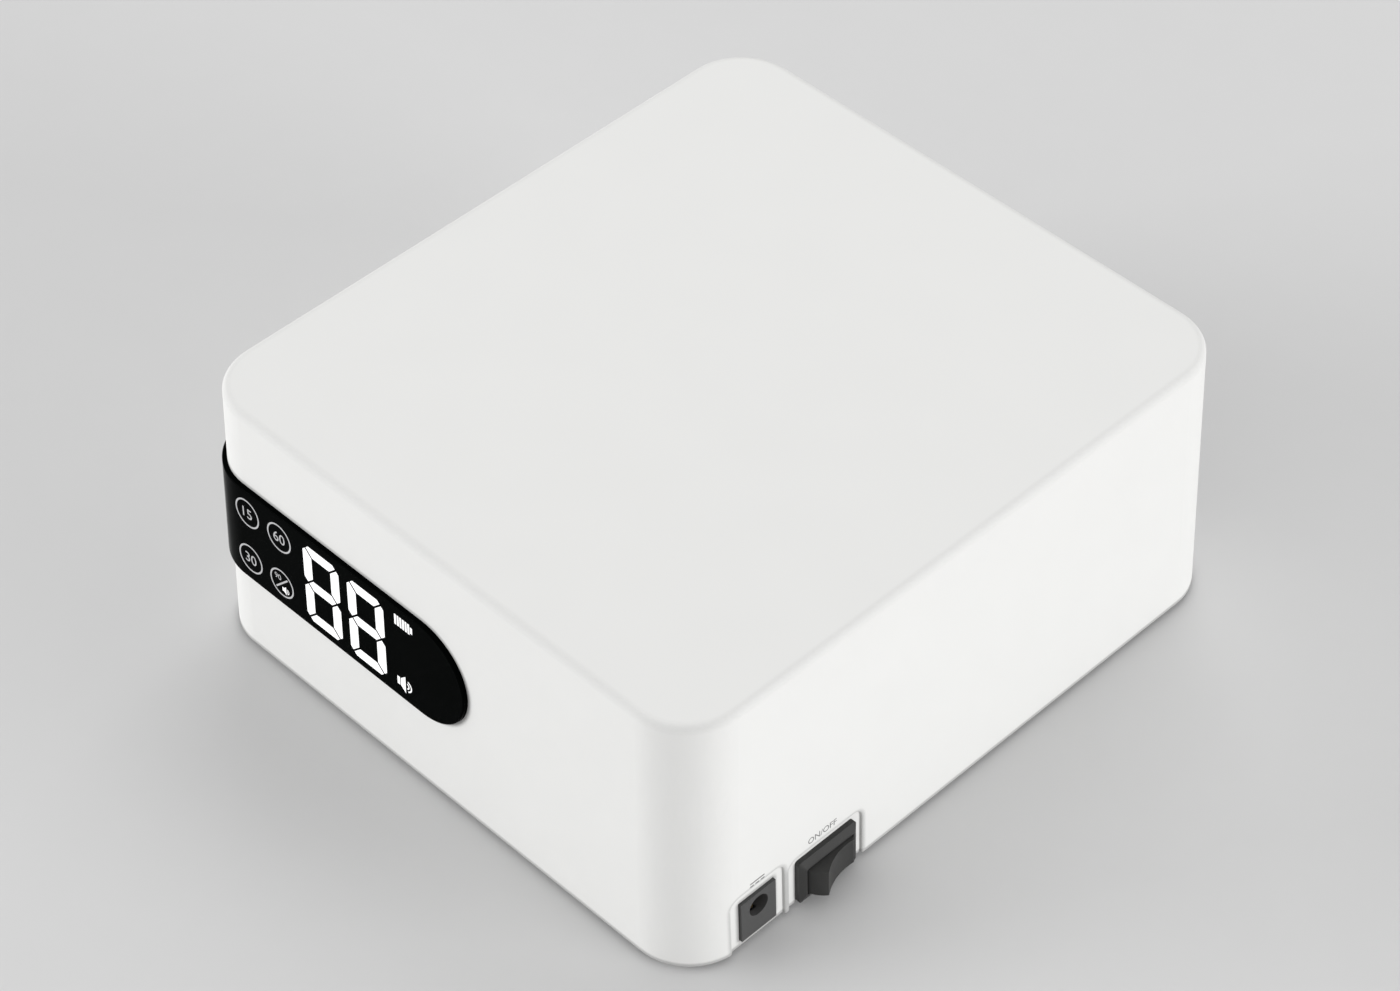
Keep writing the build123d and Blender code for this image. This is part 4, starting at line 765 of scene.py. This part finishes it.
def screw(head, height, core, length):
    """Draws a cross-head screw, with its head's outer face on z = 0 and its tip along +z."""
    def draw(bm):
        profile = [
            (head * head_face, 0), (head, height * head_rim), (head, height),
            (core, height), (core, length),
        ]
        verts = [bm.verts.new((radius, 0, z)) for radius, z in profile]
        edges = [bm.edges.new(pair) for pair in zip(verts, verts[1:])]
        bmesh.ops.spin(
            bm, geom=verts + edges, cent=(0, 0, 0), axis=(0, 0, 1),
            angle=2 * math.pi, steps=20, use_merge=True,
        )
        open_edges = [edge for edge in bm.edges if edge.is_boundary]
        rim = [edge for edge in open_edges if edge.verts[0].co.z + edge.verts[1].co.z == 0]
        tip = [edge for edge in open_edges if edge not in rim]
        bmesh.ops.contextual_create(bm, geom=tip)
        arm, half = head * recess_reach, head * recess_half
        quarter = [(arm, -half), (arm, half), (half, half)]
        corners = []
        for turn in range(4):
            spin = Matrix.Rotation(math.pi / 2 * turn, 3, "Z")
            corners += [bm.verts.new(spin @ Vector((x, y, 0))) for x, y in quarter]
        outline = [bm.edges.new(pair) for pair in zip(corners, corners[1:] + corners[:1])]
        bmesh.ops.triangle_fill(bm, edges=rim + outline, use_beauty=True)
        floor_z = height * recess_depth
        floor_loop = drawn_out(bm, corners, lambda co: Vector((co.x, co.y, floor_z)))
        bmesh.ops.contextual_create(bm, geom=edge_loop(floor_loop))
    return draw


def screw_way(box):
    """Which way a screw on one of the boards points."""
    low, high = box
    size = high - low
    if size.z > max(size.x, size.y):
        return (0, 0, -1)
    if size.x > size.y:
        return (1, 0, 0) if low.x < 0 else (-1, 0, 0)
    return (0, -1, 0) if low.y < control_bay else (0, 1, 0)


up_screws = [standing(box, (0, 0, 1)) for box in loose_boxes("liner_screws")]
liner_set = repeated(screw(*liner_screw), up_screws)
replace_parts(finish_piece("liner_screw_set", liner_set, screw_steel), "liner_screws")
small_screws = [standing(box, screw_way(box)) for box in loose_boxes("board_screws")]
board_set = repeated(screw(*board_screw), small_screws)
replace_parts(finish_piece("board_screw_set", board_set, screw_steel), "board_screws")


def cell_end(bm):
    """A bare disc inside the sleeve's folded rim."""
    bmesh.ops.create_circle(bm, cap_ends=True, segments=28, radius=cell_end_radius)
    thicken(bm, mark_proud, mark_sunk)


cell_places = [
    standing(box, (way, 0, 0)) for box in loose_boxes("battery_cells") for way in (1, -1)
]
finish_piece("cell_ends", repeated(cell_end, cell_places), strip_nickel)


def legs(bm, size):
    """Rows of flat legs beside a chip of a size, lying on z = 0."""
    sides = [(90, size.y, size.x)]
    if size.x > leg_rows_from:
        sides.insert(0, (0, size.x, size.y))
    for turn, along, across in sides:
        turned = Matrix.Rotation(math.radians(turn), 3, "Z")
        count = int(along / leg_pitch)
        for flip in (1, -1):
            out = flip * (across + leg_size[1]) / 2
            for step in range(count):
                verts = bmesh.ops.create_cube(bm, size=1)["verts"]
                bmesh.ops.scale(bm, verts=verts, vec=leg_size)
                place = ((step - (count - 1) / 2) * leg_pitch, out, leg_size[2] / 2)
                bmesh.ops.translate(bm, verts=verts, vec=place)
                bmesh.ops.rotate(bm, verts=verts, cent=(0, 0, 0), matrix=turned)


every_leg = bmesh.new()
for box in loose_boxes("board_chips"):
    size = (box[1] - box[0]) / MM
    if size.y < chip_thickest:
        flat = Vector((size.x, size.z))
        take_in(every_leg, repeated(lambda bm: legs(bm, flat), [standing(box, -BACKWARD)]))
finish_piece("chip_legs", every_leg, strip_nickel)


# Floor, light and camera
floor_half = 6
sky_strength = 0.6
light_distance = 3.5
light_middle = Vector((0, 0, 0.05))

# Softboxes: the direction they stand in, width and height, power, and beam in degrees
softboxes = {
    "top_softbox": ((0.35, -0.55, 0.76), (2.2, 2.2), 32.8, 180),
    "left_softbox": ((-0.93, -0.3, 0.2), (2.2, 0.7), 14.1, 80),
    "rear_softbox": ((0.7, 0.69, 0.2), (2.2, 0.7), 16.1, 80),
}

floor_mesh = bmesh.new()
bmesh.ops.create_grid(floor_mesh, x_segments=1, y_segments=1, size=floor_half)
mesh = bpy.data.meshes.new("floor")
floor_mesh.to_mesh(mesh)
floor_mesh.free()
floor = bpy.data.objects.new("floor", mesh)
bpy.context.scene.collection.objects.link(floor)
floor_paper = moulded("floor_paper", (0.66, 0.66, 0.66), 0.9, 4, 0.01, gloss=0.1, drift=0.004)
mesh.materials.append(floor_paper)

world = bpy.data.worlds.new("studio")
bpy.context.scene.world = world
world.use_nodes = True
sky = world.node_tree.nodes["Background"]
sky.inputs["Color"].default_value = (1, 1, 1, 1)
sky.inputs["Strength"].default_value = sky_strength

for name, (toward, size, power, beam) in softboxes.items():
    data = bpy.data.lights.new(name, "AREA")
    data.shape = "RECTANGLE"
    data.size, data.size_y = size
    data.energy = power
    data.spread = math.radians(beam)
    softbox = bpy.data.objects.new(name, data)
    bpy.context.scene.collection.objects.link(softbox)
    toward = Vector(toward).normalized()
    softbox.location = toward * light_distance + light_middle
    softbox.rotation_mode = "QUATERNION"
    softbox.rotation_quaternion = toward.to_track_quat("Z", "Y")

# The photograph's camera: its turn about the lamp, rise and roll, distance and aim in metres
camera_turn = math.radians(225.6427)
camera_rise = math.radians(44.7854)
camera_roll = math.radians(-0.5593)
camera_distance = 1.009
camera_aim = Vector((0.00257, 0.0062, 0.042))
camera_data = bpy.data.cameras.new("camera")
camera_data.sensor_width = 36
camera_data.lens = 97.82
camera_data.clip_start = 0.05
camera_data.clip_end = 50
camera = bpy.data.objects.new("camera", camera_data)
bpy.context.scene.collection.objects.link(camera)
bpy.context.scene.camera = camera
back = Vector((
    math.sin(camera_turn) * math.cos(camera_rise),
    -math.cos(camera_turn) * math.cos(camera_rise),
    math.sin(camera_rise),
))
level_right = UP.cross(back).normalized()
level_up = back.cross(level_right)
right = level_right * math.cos(camera_roll) + level_up * math.sin(camera_roll)
up = level_up * math.cos(camera_roll) - level_right * math.sin(camera_roll)
camera.matrix_world = (
    Matrix.Translation(camera_aim + back * camera_distance)
    @ Matrix((right, up, back)).transposed().to_4x4()
)

bpy.context.scene.view_settings.view_transform = "Standard"
